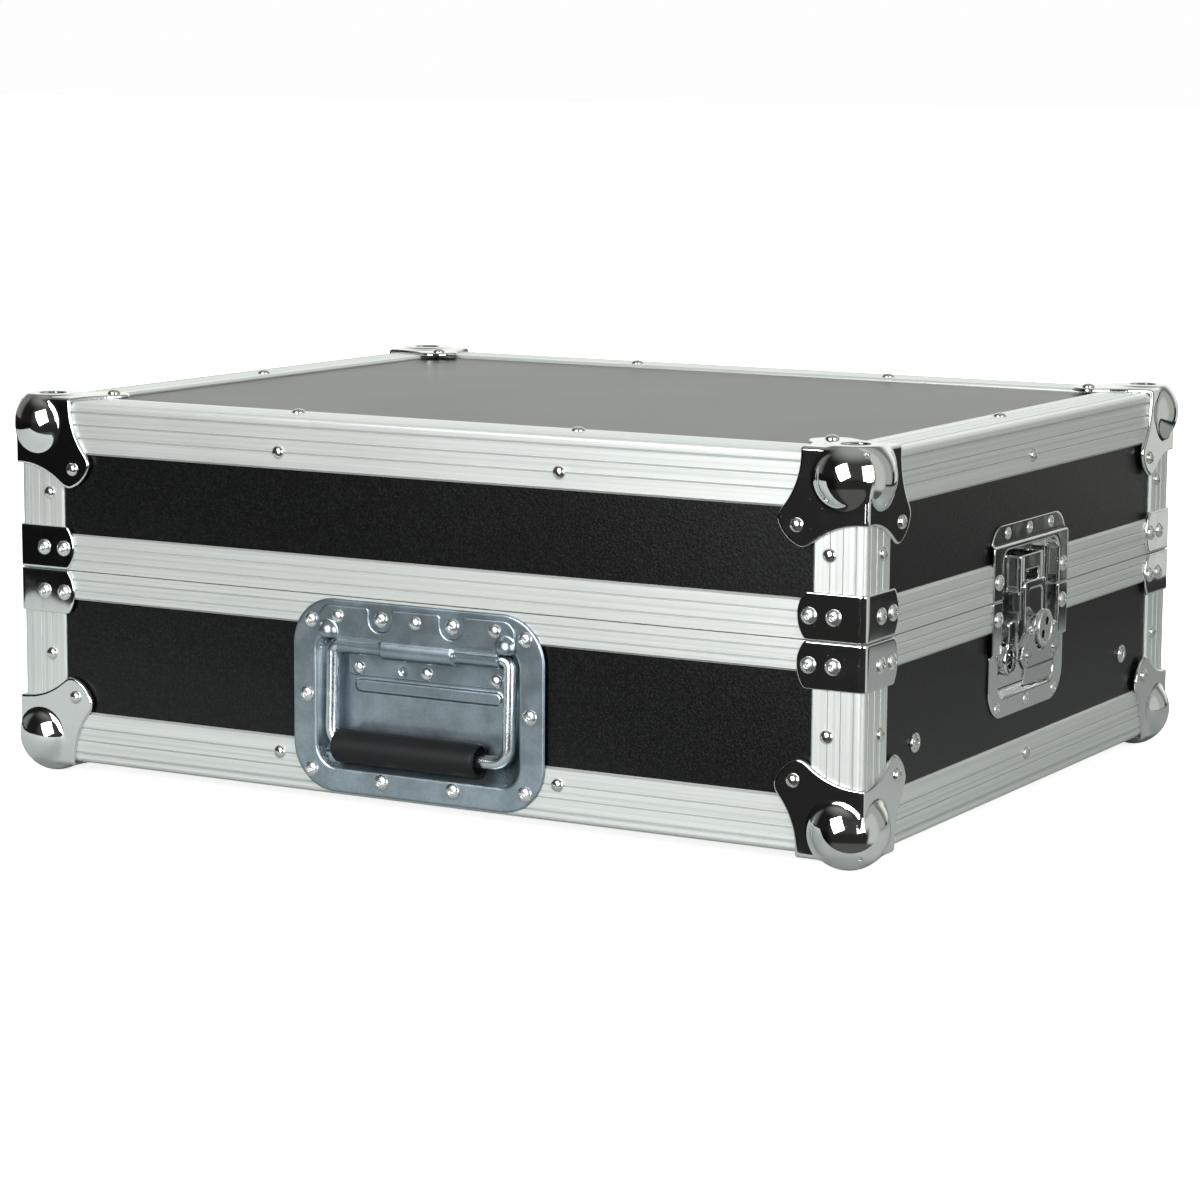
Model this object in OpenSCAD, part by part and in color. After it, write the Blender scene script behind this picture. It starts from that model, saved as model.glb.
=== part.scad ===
// Mixer rack case: plywood walls, aluminium edge profiles, chromed ball corners and braces,
// a lift-off lid held by one recessed butterfly latch at each end, and a sprung front handle.
// Frame: X along the front, latches at both ends of X, handle on -Y, Z up from the ball bottoms.

/* [Case] */
// Width of a rack panel, from ear edge to ear edge
rack_panel_w = 482.6; // [400:0.1:700]
// Room beside a rack panel, to the outer faces of the side profiles
side_room = 28.7; // [28:0.1:40]
// Depth over the front and back profiles
case_d = 434; // [360:2:600]
// Height of the base, from its bottom profiles to the split
base_h = 112; // [112:1:220]
// Height of the lid, from the split to its top profiles
lid_h = 98; // [90:1:220]
// Thickness of the plywood panels
panel_t = 9; // [8:0.5:12]
// Gap at the split between base and lid
split_gap = 0.6; // [0.3:0.1:1]

/* [Edge profiles] */
// Leg of the edge angles and corner posts
angle_leg = 30; // [28:0.5:32]
// Thickness of the profile metal outside the plywood
profile_t = 2; // [1.5:0.1:2.5]
// Rounding of the outer corner of an angle
angle_round = 3; // [1:0.5:4]
// Rounding of the lip at the end of a leg
lip_round = 1.2; // [0.4:0.1:1.4]
// Width of a groove in a profile
groove_w = 1; // [0.6:0.1:1.6]
// Depth of a groove in a profile
groove_d = 0.5; // [0.2:0.1:0.8]
// First groove, from the outer edge
groove_one = 5.8; // [5:0.1:8]
// Second groove, from the outer edge
groove_two = 13.1; // [11:0.1:15]
// Rivet line groove, from the outer edge
rivet_line = 20.5; // [18:0.1:23]
// Square cut of the angles, from the corner of the case
end_cut = 24; // [20:0.5:26]

/* [Rims at the split] */
// Visible height of the rim profile on the base
base_rim_h = 16.7; // [14:0.1:20]
// Visible height of the rim profile on the lid
lid_rim_h = 21.6; // [18:0.1:26]
// Web of a rim profile over the plywood edge
rim_web = 2; // [1.5:0.1:3]
// Thickness of the inner leg of a rim profile
rim_inner_t = 1.2; // [1:0.1:2]
// Height of the inner leg of a rim profile
rim_inner_h = 12; // [8:0.5:14]
// Height of the tongue over the split
tongue_h = 4; // [3:0.1:5]
// Thickness of the tongue
tongue_t = 3; // [2:0.1:4]
// Clearance of the tongue in the groove, each side and at the root
tongue_fit = 0.4; // [0.3:0.05:0.6]

/* [Ball corners] */
// Radius of the ball
ball_r = 19.5; // [17:0.5:21]
// How far the ball stands out of each face
ball_out = 8.7; // [7:0.1:10]
// Sheet thickness of the ball shell
ball_t = 1.2; // [1:0.1:1.6]
// How far the leaves stand out of the profiles
leaf_t = 2.2; // [1.5:0.1:3]
// Where a leaf ends along the edge, from the corner
leaf_edge = 37; // [34:0.5:42]
// Centre of the ear and its rivet, from both edges
ear_at = 38.5; // [37:0.5:42]
// Radius of the ear
ear_r = 13; // [10:0.5:14]
// Radius of the hollow curve between edge and ear
leaf_sweep = 30; // [24:1:40]
// Height of the stacking flat over the top profiles
flat_out = 3.4; // [3.2:0.1:5]
// Radius of the stacking recess
recess_r = 8.2; // [6:0.1:9]
// Depth of the stacking recess
recess_d = 2; // [1:0.1:2]

/* [Braces] */
// Height of a brace
brace_h = 25; // [20:0.5:30]
// Reach of a brace from the corner along its straight edges
brace_w = 33.7; // [32:0.1:40]
// Bow of the free end of a brace
brace_bow = 4.5; // [2:0.1:6]
// Sheet thickness of a brace
brace_t = 1.5; // [1:0.1:2]
// Rivet nearer to the corner
brace_rivet_near = 17; // [14:0.5:20]
// Rivet further from the corner
brace_rivet_far = 31; // [28:0.5:32]

/* [Rivets] */
// Radius of a domed rivet head
dome_r = 3.8; // [3:0.1:4.2]
// Height of a domed rivet head
dome_h = 2.2; // [1.5:0.1:2.6]
// Shank radius of a domed rivet
dome_shank_r = 1.6; // [1.2:0.1:2]
// Radius of a pop rivet head
pop_r = 4.5; // [3.5:0.1:4.8]
// Height of a pop rivet head
pop_h = 1.9; // [1.2:0.1:2.2]
// Shank radius of a pop rivet
pop_shank_r = 2; // [1.8:0.1:2.2]
// Radius of the mandrel hole in a pop rivet
pop_eye_r = 1.3; // [0.8:0.1:1.6]
// Length of the rivet shanks behind the profile face
shank_len = 9; // [7:0.5:9.5]

/* [Handle] */
// Middle of the handle, from the middle of the front
handle_x = 1.5; // [-40:0.5:40]
// Lower edge of the handle flange over the bottom profiles
handle_low = 1.9; // [1:0.1:2.5]
// Width of the flange
handle_w = 162; // [156:1:170]
// Room between the flange and the split
handle_under = 1.1; // [0.6:0.1:3]
// Corner radius of the flange
handle_round = 27; // [22:1:30]
// Sheet thickness of the flange
handle_t = 1.5; // [1:0.1:2]
// Width of the dish opening
dish_w = 129.4; // [128:0.2:132]
// Lower edge of the dish opening over the flange edge
dish_low = 14.3; // [13.5:0.1:15]
// Upper edge of the dish opening under the flange edge
dish_under = 17.9; // [17:0.1:18.5]
// Depth of the dish floor behind the profile face
dish_depth = 11; // [10.6:0.1:12]
// Draw-in of the dish walls at the floor
dish_draw = 6.7; // [4:0.1:7]
// Sheet thickness of the dish
dish_t = 1.2; // [0.8:0.1:1.5]
// Radius of the bail rod
bail_r = 3.75; // [3:0.05:3.9]
// Half distance between the bail arms
bail_half = 57.3; // [56:0.1:58]
// Bend radius of the bail
bail_bend = 10; // [8:0.5:12]
// Hinge line under the upper flange edge
bail_under = 25.9; // [25.5:0.1:26.5]
// Hinge line behind the profile face
bail_in = 3; // [2.8:0.1:3.5]
// Middle of the grip over the lower flange edge
grip_up = 26.4; // [26:0.1:28]
// Room between the grip and the dish floor
grip_room = 0.38; // [0.3:0.02:1]
// Radius of the grip
grip_r = 9.5; // [8:0.1:9.5]
// Length of the grip
grip_len = 92; // [80:1:94]
// Middle of the grip, from the middle of the handle
grip_x = -6.7; // [-7:0.1:0]
// Outer radius of the wide part of the barrel
barrel_r = 6.7; // [6.5:0.1:7]
// Half length of the wide part of the barrel
barrel_half = 23.5; // [16:0.5:30]
// Outer radius of the narrow parts of the barrel
barrel_neck_r = 5; // [4.8:0.1:5.4]
// Half length of the whole barrel
barrel_reach = 52; // [50:0.5:53]

/* [Latch] */
// Width of the latch plates
latch_w = 107; // [104:1:114]
// Reach of the lid plate over the split
latch_up = 42; // [40:0.5:46]
// Reach of the base plate under the split
latch_down = 66.5; // [65:0.5:68]
// Corner radius of the lid plate
latch_round_up = 15; // [12:0.5:17]
// Corner radius of the base plate
latch_round_down = 19; // [16:0.5:22]
// Sheet thickness of the latch plates
latch_t = 1.2; // [1:0.1:1.5]
// Half width of the latch dish
latch_half = 40; // [38:0.5:42]
// Depth of the latch dish floor behind the profile face
latch_depth = 8; // [7:0.1:8.5]
// Reach of the dish over the split
latch_dish_up = 27.6; // [27:0.1:29]
// Reach of the dish under the split
latch_dish_down = 54.8; // [53:0.1:56]
// Where the lid plate steps down to the panel, over the split
step_up = 30.3; // [29:0.1:30.4]
// Where the base plate steps down to the panel, under the split
step_down = 29; // [27:0.1:30]
// Spindle axis under the split
spindle_down = 19; // [18:0.1:19.5]
// Radius of the spindle journal
journal_r = 5; // [4:0.1:5.5]
// Radius of the spindle shoulder in the dish
shoulder_r = 7; // [6.5:0.1:7.2]
// Radius of the eccentric
cam_r = 7.5; // [7.3:0.1:7.8]
// Offset of the eccentric from the spindle axis
cam_throw = 2.5; // [2:0.1:2.6]
// Radius of the spindle boss
boss_r = 10.5; // [10.2:0.1:10.7]
// Outer face of the boss over the profile face
boss_out = 10.8; // [10.6:0.1:11.5]
// Thickness of the boss
boss_t = 3.8; // [3.6:0.1:3.8]
// Half width of the hook plate
hook_half = 15; // [14.5:0.1:15.5]
// Thickness of the hook plate
hook_t = 1.5; // [1.2:0.1:1.6]
// Inner face of the hook plate over the profile face
hook_out = 2.3; // [2.2:0.1:2.4]
// Top of the hook over the split
hook_up = 7.7; // [7.5:0.1:8]
// Half width of the keeper
keeper_half = 16.5; // [15:0.1:17]
// Sheet thickness of the keeper
keeper_t = 1.5; // [1.2:0.1:1.5]
// Half width of the keeper slot
slot_half = 10; // [9:0.1:11]
// Height of the keeper slot
slot_h = 7.6; // [7:0.1:8]
// Radius of the wing pin
wing_pin_r = 1.2; // [1:0.05:1.3]
// Sheet thickness of the wing
wing_t = 1.6; // [1.2:0.1:1.8]
// Radius of the wing cut-out round the boss
wing_eye_r = 12.2; // [11.8:0.1:12.4]

/* [Rack rails] */
// Lap of a rack panel on the rail at each side
rail_lap = 16.3; // [15.9:0.1:17]
// Rail holes, from the edge of a rack panel
hole_edge = 8.75; // [8.5:0.05:9]
// Radius of a rail hole
rail_hole_r = 3; // [2.5:0.1:3.2]
// Sheet thickness of a rail
rail_t = 2; // [1.5:0.1:3]
// Top face of the rails over the bottom profiles
rail_top = 70; // [66:1:74]
// Height of the rail leg on the wall
rail_leg = 34; // [30:1:40]
// Front rail screw, over the bottom profiles
screw_front_up = 50.5; // [48:0.5:58]
// Back rail screw, over the bottom profiles
screw_back_up = 55.8; // [48:0.5:58]
// Rail screws, from the ends of the rails
screw_end = 51; // [20:1:80]
// Radius of the cup washer
washer_r = 5.6; // [5:0.1:7]
// Height of the cup washer
washer_h = 1.6; // [1:0.1:2]
// Thread radius of a rail screw
screw_r = 3; // [2.5:0.1:3]

/* [Lining] */
// Thickness of the foam pad in the lid
foam_t = 10; // [6:1:24]
// Gap between the foam pad and the lid walls
foam_gap = 3; // [1:0.5:10]

/* [Hidden] */
$fn = 48;

// Overrun of every cut, clearance of shanks in their holes, and of a running fit
over = 1;
hole_fit = 0.1;
run_fit = 0.06;
// Gap where two lengths of profile meet
butt_gap = 0.2;
// Steps of an arc in an outline
arc_steps = 8;

case_w = rack_panel_w + 2 * side_room;
half_w = case_w / 2;
half_d = case_d / 2;
case_h = base_h + lid_h;
// Height of the bottom profiles over the ball bottoms
foot = ball_out;
// Inner face of the plywood, from the profile face
inner = profile_t + panel_t;
// Split in the lid's own height
lid_low = base_h + split_gap;
// Middle of the visible base panel and of the visible lid panel
base_mid = (angle_leg + base_h - base_rim_h) / 2;
lid_mid = (base_h + lid_rim_h + case_h - angle_leg) / 2;
// Height of the rivets in the braces under and over the split
brace_low = base_h - brace_h / 2;
brace_high = lid_low + brace_h / 2;
// Profile rivets on a long edge stand at the thirds of the width
third_shares = [-1/6, 1/6];

// Handle places, in the front face's frame
handle_h = base_h - handle_low - handle_under;
handle_top = handle_low + handle_h;
handle_mid = handle_low + handle_h / 2;
dish_floor_z = handle_low + dish_low;
dish_h = handle_h - dish_low - dish_under;
dish_mid = dish_floor_z + dish_h / 2;
dish_round = 12;
bail_z = handle_top - bail_under;
bail_len = bail_z - handle_low - grip_up;
// The bail leans out by as much as the grip needs over the dish floor
bail_lean = asin((grip_r + grip_room - dish_depth + bail_in) / bail_len);
// Rivets of the flange: half distances and heights over its lower edge
row_under = 9.6;
row_up = handle_h - row_under;
flange_rivets = [
    [69, handle_h - 13], [-69, handle_h - 13], [23, row_up], [-23, row_up],
    [72, handle_h / 2 - 0.6], [-72, handle_h / 2 - 0.6],
    [69, 11.6], [-69, 11.6], [23, 8.3], [-23, 8.3]
];
// Domed rivets of the hinge plate and of its lower strip, over the flange's lower edge
strip_up = handle_h - 39.5;
plate_rivets = [[50.5, row_up], [0, row_up], [-50.5, row_up]];
strip_rivets = [[44.3, strip_up], [0, strip_up], [-44.3, strip_up]];
strip_out = 1.6;
plate_rivet_h = 2;
// Hinge plate: half width, top edge and lower edge over the flange's lower edge, notch radius
plate_half = 63.5;
plate_top = handle_h - 3.4;
plate_low = handle_h - 21.6;
plate_t = 1.2;
plate_round = 8;
notch_r = 7;
strip_half = 52;
strip_low = handle_h - 44;
// Lug over each elbow of the bail
lug_half = 6.2;
lug_h = 6.6;
lug_out = 3.4;
// Bead in the dish floor
bead_half = 47;
bead_h = 6;
bead_up = handle_h - 49;
bead_out = 0.8;
// Counterbore of the grip over the bends of the bail
grip_mouth_r = 7.5;
grip_mouth = 6;
grip_fit = 0.02;
// Spring sleeve between rod and barrel
spring_fit = 0.35;
barrel_wall = 1.2;

// Latch places, in the end face's frame
latch_round_dish = 8;
spindle_z = base_h - spindle_down;
rivet_half = 46;
lid_plate_rivets = [[31, 36.9], [0, 36.9], [-31, 36.9]];
base_plate_rivets = [[41, -60.6], [0, -60.6], [-41, -60.6]];
lid_rim_rivet = 11.2;
base_rim_rivet = -9.7;
// Back washer of the spindle
tail_r = 8;
tail_t = 1.2;
// Two blind holes in the boss face
eye_r = 2;
eye_reach = 4.3;
eye_turn = 40;
eye_depth = 1.2;
// Wing: shoulders, waist and flap, as half widths and drops below the spindle axis
wing_arm = 15.4;
wing_top = 2.4;
wing_line = [[15.4, 2.4], [27, -8], [28, -15], [20.7, -21.5], [19.2, -31.1]];
wing_fold = -21.5;
wing_tip = -31.1;
wing_lean = 2.2;
flap_lean = 1.4;
knuckle_r = 2.4;
knuckle_gap = 0.5;
wing_axis_out = 8.5;
wing_back = 7.4;
wing_stud_r = 3;
wing_stud_h = 1.2;
wing_stud_at = [19.1, -14];
// Hook: lower end under the split, lip through the keeper slot
hook_down = 48;
lip_half = 9.3;
lip_in = 2.8;
hook_play = 0.9;
slot_seat = 0.3;
keeper_top = 22.5;
keeper_bottom = 1.5;
// Padlock eye in the base dish: middle, drop below the spindle, radii, and its tab
eye_ring_at = [-21, -16.5];
eye_ring_r = 9;
eye_ring_bore = 5;
eye_ring_h = 7;
eye_tab_half = 5;
eye_tab_top = 5;
eye_tab_t = 1.5;

// Rail places
rack_unit = 44.45;
rack_hole_first = 6.35;
rack_hole_step = 15.875;
// The rails are as long as the whole units that fit between the walls
rack_units = floor((case_d - 2 * inner) / rack_unit);
rail_len = rack_units * rack_unit;
screw_reach = rail_len / 2 - screw_end;
nut_r = 5;
nut_t = 5;
screw_head_r = 3.6;
screw_head_h = 1.2;

// Frames of the faces: local X along the face, local Y up, local Z outwards
module on_front() { translate([0, -half_d, foot]) rotate([90, 0, 0]) children(); }
module on_back() { rotate([0, 0, 180]) on_front() children(); }
module on_right() { translate([half_w, 0, foot]) rotate([90, 0, 90]) children(); }
module on_left() { rotate([0, 0, 180]) on_right() children(); }
module on_top() { translate([0, 0, foot + case_h]) children(); }
module on_bottom() { translate([0, 0, foot]) rotate([180, 0, 0]) children(); }

// Rivet places on a face: [across, up, height of the seat over the profile face]
function pair(x, y, seat) = [[x, y, seat], [-x, y, seat]];
function flat_pairs(x, y, seat) = concat(pair(x, y, seat), pair(x, -y, seat));
function wall_domes(half, row_shares, span, up_edge, up_ear, up_mid) = concat(
    pair(half - ear_at, up_ear, leaf_t),
    pair(half - rivet_line, up_mid, 0),
    [for (s = row_shares) [s * span, up_edge, 0]]);
base_long_domes = wall_domes(half_w, third_shares, case_w, rivet_line, ear_at, base_mid);
base_end_domes = wall_domes(half_d, [0], case_d, rivet_line, ear_at, base_mid);
lid_long_domes =
    wall_domes(half_w, third_shares, case_w, case_h - rivet_line, case_h - ear_at, lid_mid);
lid_end_domes = wall_domes(half_d, [0], case_d, case_h - rivet_line, case_h - ear_at, lid_mid);
plan_domes = concat(
    flat_pairs(half_w - ear_at, half_d - ear_at, leaf_t),
    [for (s = third_shares, k = [-1, 1]) [s * case_w, k * (half_d - rivet_line), 0]],
    pair(half_w - rivet_line, 0, 0));
function brace_pops(half, up) = concat(
    pair(half - brace_rivet_near, up, brace_t), pair(half - brace_rivet_far, up, brace_t));
handle_pops = [for (p = flange_rivets) [handle_x + p[0], handle_low + p[1], handle_t]];
panel_seat = latch_t - profile_t;
latch_base_pops = concat(pair(rivet_half, base_h + base_rim_rivet, latch_t),
    [for (p = base_plate_rivets) [p[0], base_h + p[1], panel_seat]]);
latch_lid_pops = concat(pair(rivet_half, base_h + lid_rim_rivet, latch_t),
    [for (p = lid_plate_rivets) [p[0], base_h + p[1], panel_seat]]);

module dome_head(r, h) {
    // A cap of the sphere that has this radius at its foot and this height
    sphere_r = (r * r + h * h) / (2 * h);
    intersection() {
        translate([0, 0, h - sphere_r]) sphere(r = sphere_r);
        cylinder(r = r + over, h = h + over);
    }
}
module dome_rivet(seat) {
    translate([0, 0, seat]) dome_head(dome_r, dome_h);
    translate([0, 0, -shank_len]) cylinder(r = dome_shank_r, h = shank_len + seat);
}
module pop_rivet(seat) {
    difference() {
        union() {
            translate([0, 0, seat]) dome_head(pop_r, pop_h);
            translate([0, 0, -shank_len]) cylinder(r = pop_shank_r, h = shank_len + seat);
        }
        translate([0, 0, seat + pop_h / 2]) cylinder(r = pop_eye_r, h = pop_h);
    }
}
module domes(places) { for (p = places) translate([p[0], p[1], 0]) dome_rivet(p[2]); }
module pops(places) { for (p = places) translate([p[0], p[1], 0]) pop_rivet(p[2]); }
module shank_cuts(places, r) {
    depth = shank_len + hole_fit;
    for (p = places) translate([p[0], p[1], -depth])
        cylinder(r = r + hole_fit, h = depth + leaf_t + over);
}
module dome_cuts(places) { shank_cuts(places, dome_shank_r); }
module pop_cuts(places) { shank_cuts(places, pop_shank_r); }
module base_front_cuts() {
    dome_cuts(base_long_domes);
    pop_cuts(brace_pops(half_w, brace_low));
    pop_cuts(handle_pops);
}
module base_back_cuts() {
    dome_cuts(base_long_domes);
    pop_cuts(brace_pops(half_w, brace_low));
}
module base_end_cuts() {
    dome_cuts(base_end_domes);
    pop_cuts(brace_pops(half_d, brace_low));
    pop_cuts(latch_base_pops);
}
module lid_long_cuts() {
    dome_cuts(lid_long_domes);
    pop_cuts(brace_pops(half_w, brace_high));
}
module lid_end_cuts() {
    dome_cuts(lid_end_domes);
    pop_cuts(brace_pops(half_d, brace_high));
    pop_cuts(latch_lid_pops);
}

// A rounded rectangle from its lower left and upper right corners
module round_box(low, high, r) {
    hx = [low[0] + r, high[0] - r];
    hy = [low[1] + r, high[1] - r];
    union() {
        translate([hx[0], low[1]]) square([hx[1] - hx[0], high[1] - low[1]]);
        translate([low[0], hy[0]]) square([high[0] - low[0], hy[1] - hy[0]]);
        for (x = hx, y = hy) translate([x, y]) circle(r = r);
    }
}

// Plywood panels
module wall_panel(half, up_from, up_to) {
    translate([-half, up_from, -inner]) cube([2 * half, up_to - up_from, panel_t]);
}
module plan_panel() {
    translate([profile_t - half_w, profile_t - half_d, -inner])
        cube([case_w - 2 * profile_t, case_d - 2 * profile_t, panel_t]);
}
long_half = half_w - profile_t;
end_half = half_d - inner;
base_panel_top = base_h - rim_web;
lid_web_top = base_h + tongue_h + tongue_fit + rim_web;
lid_panel_top = case_h - inner;
module handle_hole() {
    translate([handle_x, 0, -inner - over]) linear_extrude(inner + over + over)
        round_box([-dish_w / 2 - dish_t - hole_fit, dish_floor_z - dish_t - hole_fit],
            [dish_w / 2 + dish_t + hole_fit, dish_floor_z + dish_h + dish_t + hole_fit],
            dish_round + dish_t);
}
latch_hole_half = latch_half + latch_t + hole_fit;
wall_cut = inner + rim_inner_t + over;
module latch_hole_base() {
    translate([0, 0, -wall_cut]) linear_extrude(wall_cut + over)
        round_box([-latch_hole_half, base_h - latch_dish_down - latch_t - hole_fit],
            [latch_hole_half, base_h + latch_dish_up], latch_round_dish + latch_t);
}
module latch_hole_lid() {
    translate([0, 0, -wall_cut]) linear_extrude(wall_cut + over)
        round_box([-latch_hole_half, base_h - latch_dish_down],
            [latch_hole_half, base_h + latch_dish_up + latch_t + hole_fit],
            latch_round_dish + latch_t);
}
module base_floor() {
    color([0.12, 0.12, 0.12]) difference() {
        on_bottom() plan_panel();
        on_bottom() dome_cuts(plan_domes);
        on_front() base_front_cuts();
        on_back() base_back_cuts();
        on_right() base_end_cuts();
        on_left() base_end_cuts();
    }
}
module base_front_panel() {
    color([0.1, 0.1, 0.1]) on_front() difference() {
        wall_panel(long_half, inner, base_panel_top);
        base_front_cuts();
        handle_hole();
    }
}
module base_back_panel() {
    color([0.1, 0.1, 0.1]) on_back() difference() {
        wall_panel(long_half, inner, base_panel_top);
        base_back_cuts();
    }
}
module base_end_panel(left) {
    color([0.16, 0.16, 0.16]) difference() {
        wall_panel(end_half, inner, base_panel_top);
        base_end_cuts();
        latch_hole_base();
        screw_cuts(left);
    }
}
module lid_top_panel() {
    color([0.3, 0.3, 0.28]) difference() {
        on_top() plan_panel();
        on_top() dome_cuts(plan_domes);
        on_front() lid_long_cuts();
        on_back() lid_long_cuts();
        on_right() lid_end_cuts();
        on_left() lid_end_cuts();
    }
}
module lid_long_panel() {
    color([0.1, 0.1, 0.1]) difference() {
        wall_panel(long_half, lid_web_top, lid_panel_top);
        lid_long_cuts();
    }
}
module lid_end_panel() {
    color([0.16, 0.16, 0.16]) difference() {
        wall_panel(end_half, lid_web_top, lid_panel_top);
        lid_end_cuts();
        latch_hole_lid();
    }
}

// Section of an angle: outer corner at the origin, legs along +X and +Y
function flip(points) = [for (i = [len(points) - 1:-1:0]) [points[i][1], points[i][0]]];
function groove(at) = [[at + groove_w / 2, 0], [at, groove_d], [at - groove_w / 2, 0]];
leg_points = concat(
    [[angle_leg, profile_t], [angle_leg, lip_round], [angle_leg - lip_round, 0]],
    groove(rivet_line), groove(groove_two), groove(groove_one));
corner_arc = [for (i = [0:arc_steps])
    let (a = 270 - 90 * i / arc_steps) [angle_round * (1 + cos(a)), angle_round * (1 + sin(a))]];
angle_points = concat(leg_points, corner_arc, flip(leg_points), [[profile_t, profile_t]]);
module angle_bar(length) { linear_extrude(length) polygon(angle_points); }

// Plan of a bottom or top angle: square cut at the ball, then mitred behind its leaf
module mitre_plan(long_side, depth_side) {
    tip = angle_leg + over;
    linear_extrude(angle_leg + 2 * over) polygon([
        [end_cut - long_side, -depth_side - over], [long_side - end_cut, -depth_side - over],
        [long_side - end_cut, end_cut - depth_side], [long_side - tip, tip - depth_side],
        [tip - long_side, tip - depth_side], [end_cut - long_side, end_cut - depth_side]]);
}
module lower_angle(long_side, depth_side) {
    intersection() {
        translate([-long_side, -depth_side, foot]) rotate([90, 0, 90]) angle_bar(2 * long_side);
        translate([0, -butt_gap / 2, foot - over]) mitre_plan(long_side, depth_side);
    }
}
module upper_angle(long_side, depth_side) {
    translate([0, 0, 2 * foot + case_h]) mirror([0, 0, 1]) lower_angle(long_side, depth_side);
}
module base_front_angle() {
    color("gainsboro") difference() {
        lower_angle(half_w, half_d);
        on_front() { base_front_cuts(); handle_hole(); }
        on_bottom() dome_cuts(plan_domes);
    }
}
module base_back_angle() {
    color("gainsboro") difference() {
        rotate([0, 0, 180]) lower_angle(half_w, half_d);
        on_back() base_back_cuts();
        on_bottom() dome_cuts(plan_domes);
    }
}
module base_end_angle(turn) {
    color("gainsboro") difference() {
        rotate([0, 0, turn]) lower_angle(half_d, half_w);
        on_right() base_end_cuts();
        on_left() base_end_cuts();
        on_bottom() dome_cuts(plan_domes);
    }
}
module lid_long_angle(turn) {
    color("gainsboro") difference() {
        rotate([0, 0, turn]) upper_angle(half_w, half_d);
        on_front() lid_long_cuts();
        on_back() lid_long_cuts();
        on_top() dome_cuts(plan_domes);
    }
}
module lid_end_angle(turn) {
    color("gainsboro") difference() {
        rotate([0, 0, turn]) upper_angle(half_d, half_w);
        on_right() lid_end_cuts();
        on_left() lid_end_cuts();
        on_top() dome_cuts(plan_domes);
    }
}

// One child at each of the four vertical edges, legs along the two walls
module at_edges() {
    for (sx = [0, 1], sy = [0, 1])
        mirror([sx, 0, 0]) mirror([0, sy, 0]) translate([-half_w, -half_d, 0]) children();
}
module base_posts() {
    color("gainsboro") difference() {
        at_edges() translate([0, 0, foot + angle_leg + butt_gap])
            angle_bar(base_h - angle_leg - butt_gap);
        on_front() base_front_cuts();
        on_back() base_back_cuts();
        on_right() base_end_cuts();
        on_left() base_end_cuts();
    }
}
module lid_posts() {
    color("gainsboro") difference() {
        at_edges() translate([0, 0, foot + lid_low])
            angle_bar(case_h - angle_leg - butt_gap - lid_low);
        on_front() lid_long_cuts();
        on_back() lid_long_cuts();
        on_right() lid_end_cuts();
        on_left() lid_end_cuts();
    }
}

// Rim sections: X inwards from the profile face, Y up from the split
inner_out = inner + rim_inner_t;
tongue_in = (inner - tongue_t) / 2;
rim_grooves_shares = [0.3, 0.68];
base_rim_points = concat(
    [[0, 0], [tongue_in, 0], [tongue_in, tongue_h], [tongue_in + tongue_t, tongue_h],
        [tongue_in + tongue_t, 0], [inner_out, 0], [inner_out, -rim_inner_h],
        [inner, -rim_inner_h], [inner, -rim_web], [profile_t, -rim_web],
        [profile_t, -base_rim_h], [lip_round, -base_rim_h], [0, lip_round - base_rim_h]],
    [for (s = [rim_grooves_shares[1], rim_grooves_shares[0]])
        each [[0, -s * base_rim_h - groove_w / 2], [groove_d, -s * base_rim_h],
            [0, -s * base_rim_h + groove_w / 2]]]);
lid_web = lid_web_top - base_h;
groove_in = tongue_in - tongue_fit;
groove_out = tongue_in + tongue_t + tongue_fit;
groove_top = tongue_h + tongue_fit;
lid_rim_points = concat(
    [[0, split_gap], [groove_in, split_gap], [groove_in, groove_top], [groove_out, groove_top],
        [groove_out, split_gap], [inner_out, split_gap], [inner_out, rim_inner_h + lid_web],
        [inner, rim_inner_h + lid_web], [inner, lid_web], [profile_t, lid_web],
        [profile_t, lid_rim_h], [lip_round, lid_rim_h], [0, lid_rim_h - lip_round]],
    [for (s = [rim_grooves_shares[1], rim_grooves_shares[0]])
        each [[0, s * lid_rim_h + groove_w / 2], [groove_d, s * lid_rim_h],
            [0, s * lid_rim_h - groove_w / 2]]]);
// A length of rim in a face's frame: its outer leg between the posts, the rest mitred behind them
module rim_bar(points, half) {
    reach = half - angle_leg - butt_gap;
    deep = inner_out + over;
    difference() {
        intersection() {
            translate([-half, base_h, 0]) rotate([90, 0, 90]) linear_extrude(2 * half)
                polygon([for (p = points) [p[1], -p[0]]]);
            translate([0, case_h, 0]) rotate([90, 0, 0]) linear_extrude(case_h)
                polygon([[butt_gap - half, 0], [half - butt_gap, 0],
                    [half - butt_gap - deep, -deep], [butt_gap + deep - half, -deep]]);
        }
        for (s = [0, 1]) mirror([s, 0, 0]) translate([reach, 0, -profile_t])
            cube([angle_leg + over, case_h, profile_t + over]);
    }
}
module base_rim() {
    color("gainsboro") {
        on_front() difference() { rim_bar(base_rim_points, half_w); base_front_cuts(); }
        on_back() difference() { rim_bar(base_rim_points, half_w); base_back_cuts(); }
        for (turn = [0, 180]) rotate([0, 0, turn]) on_right() difference() {
            rim_bar(base_rim_points, half_d);
            base_end_cuts();
            latch_hole_base();
        }
    }
}
module lid_rim() {
    color("gainsboro") for (turn = [0, 180]) rotate([0, 0, turn]) {
        on_front() difference() { rim_bar(lid_rim_points, half_w); lid_long_cuts(); }
        on_right() difference() {
            rim_bar(lid_rim_points, half_d);
            lid_end_cuts();
            latch_hole_lid();
        }
    }
}

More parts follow.
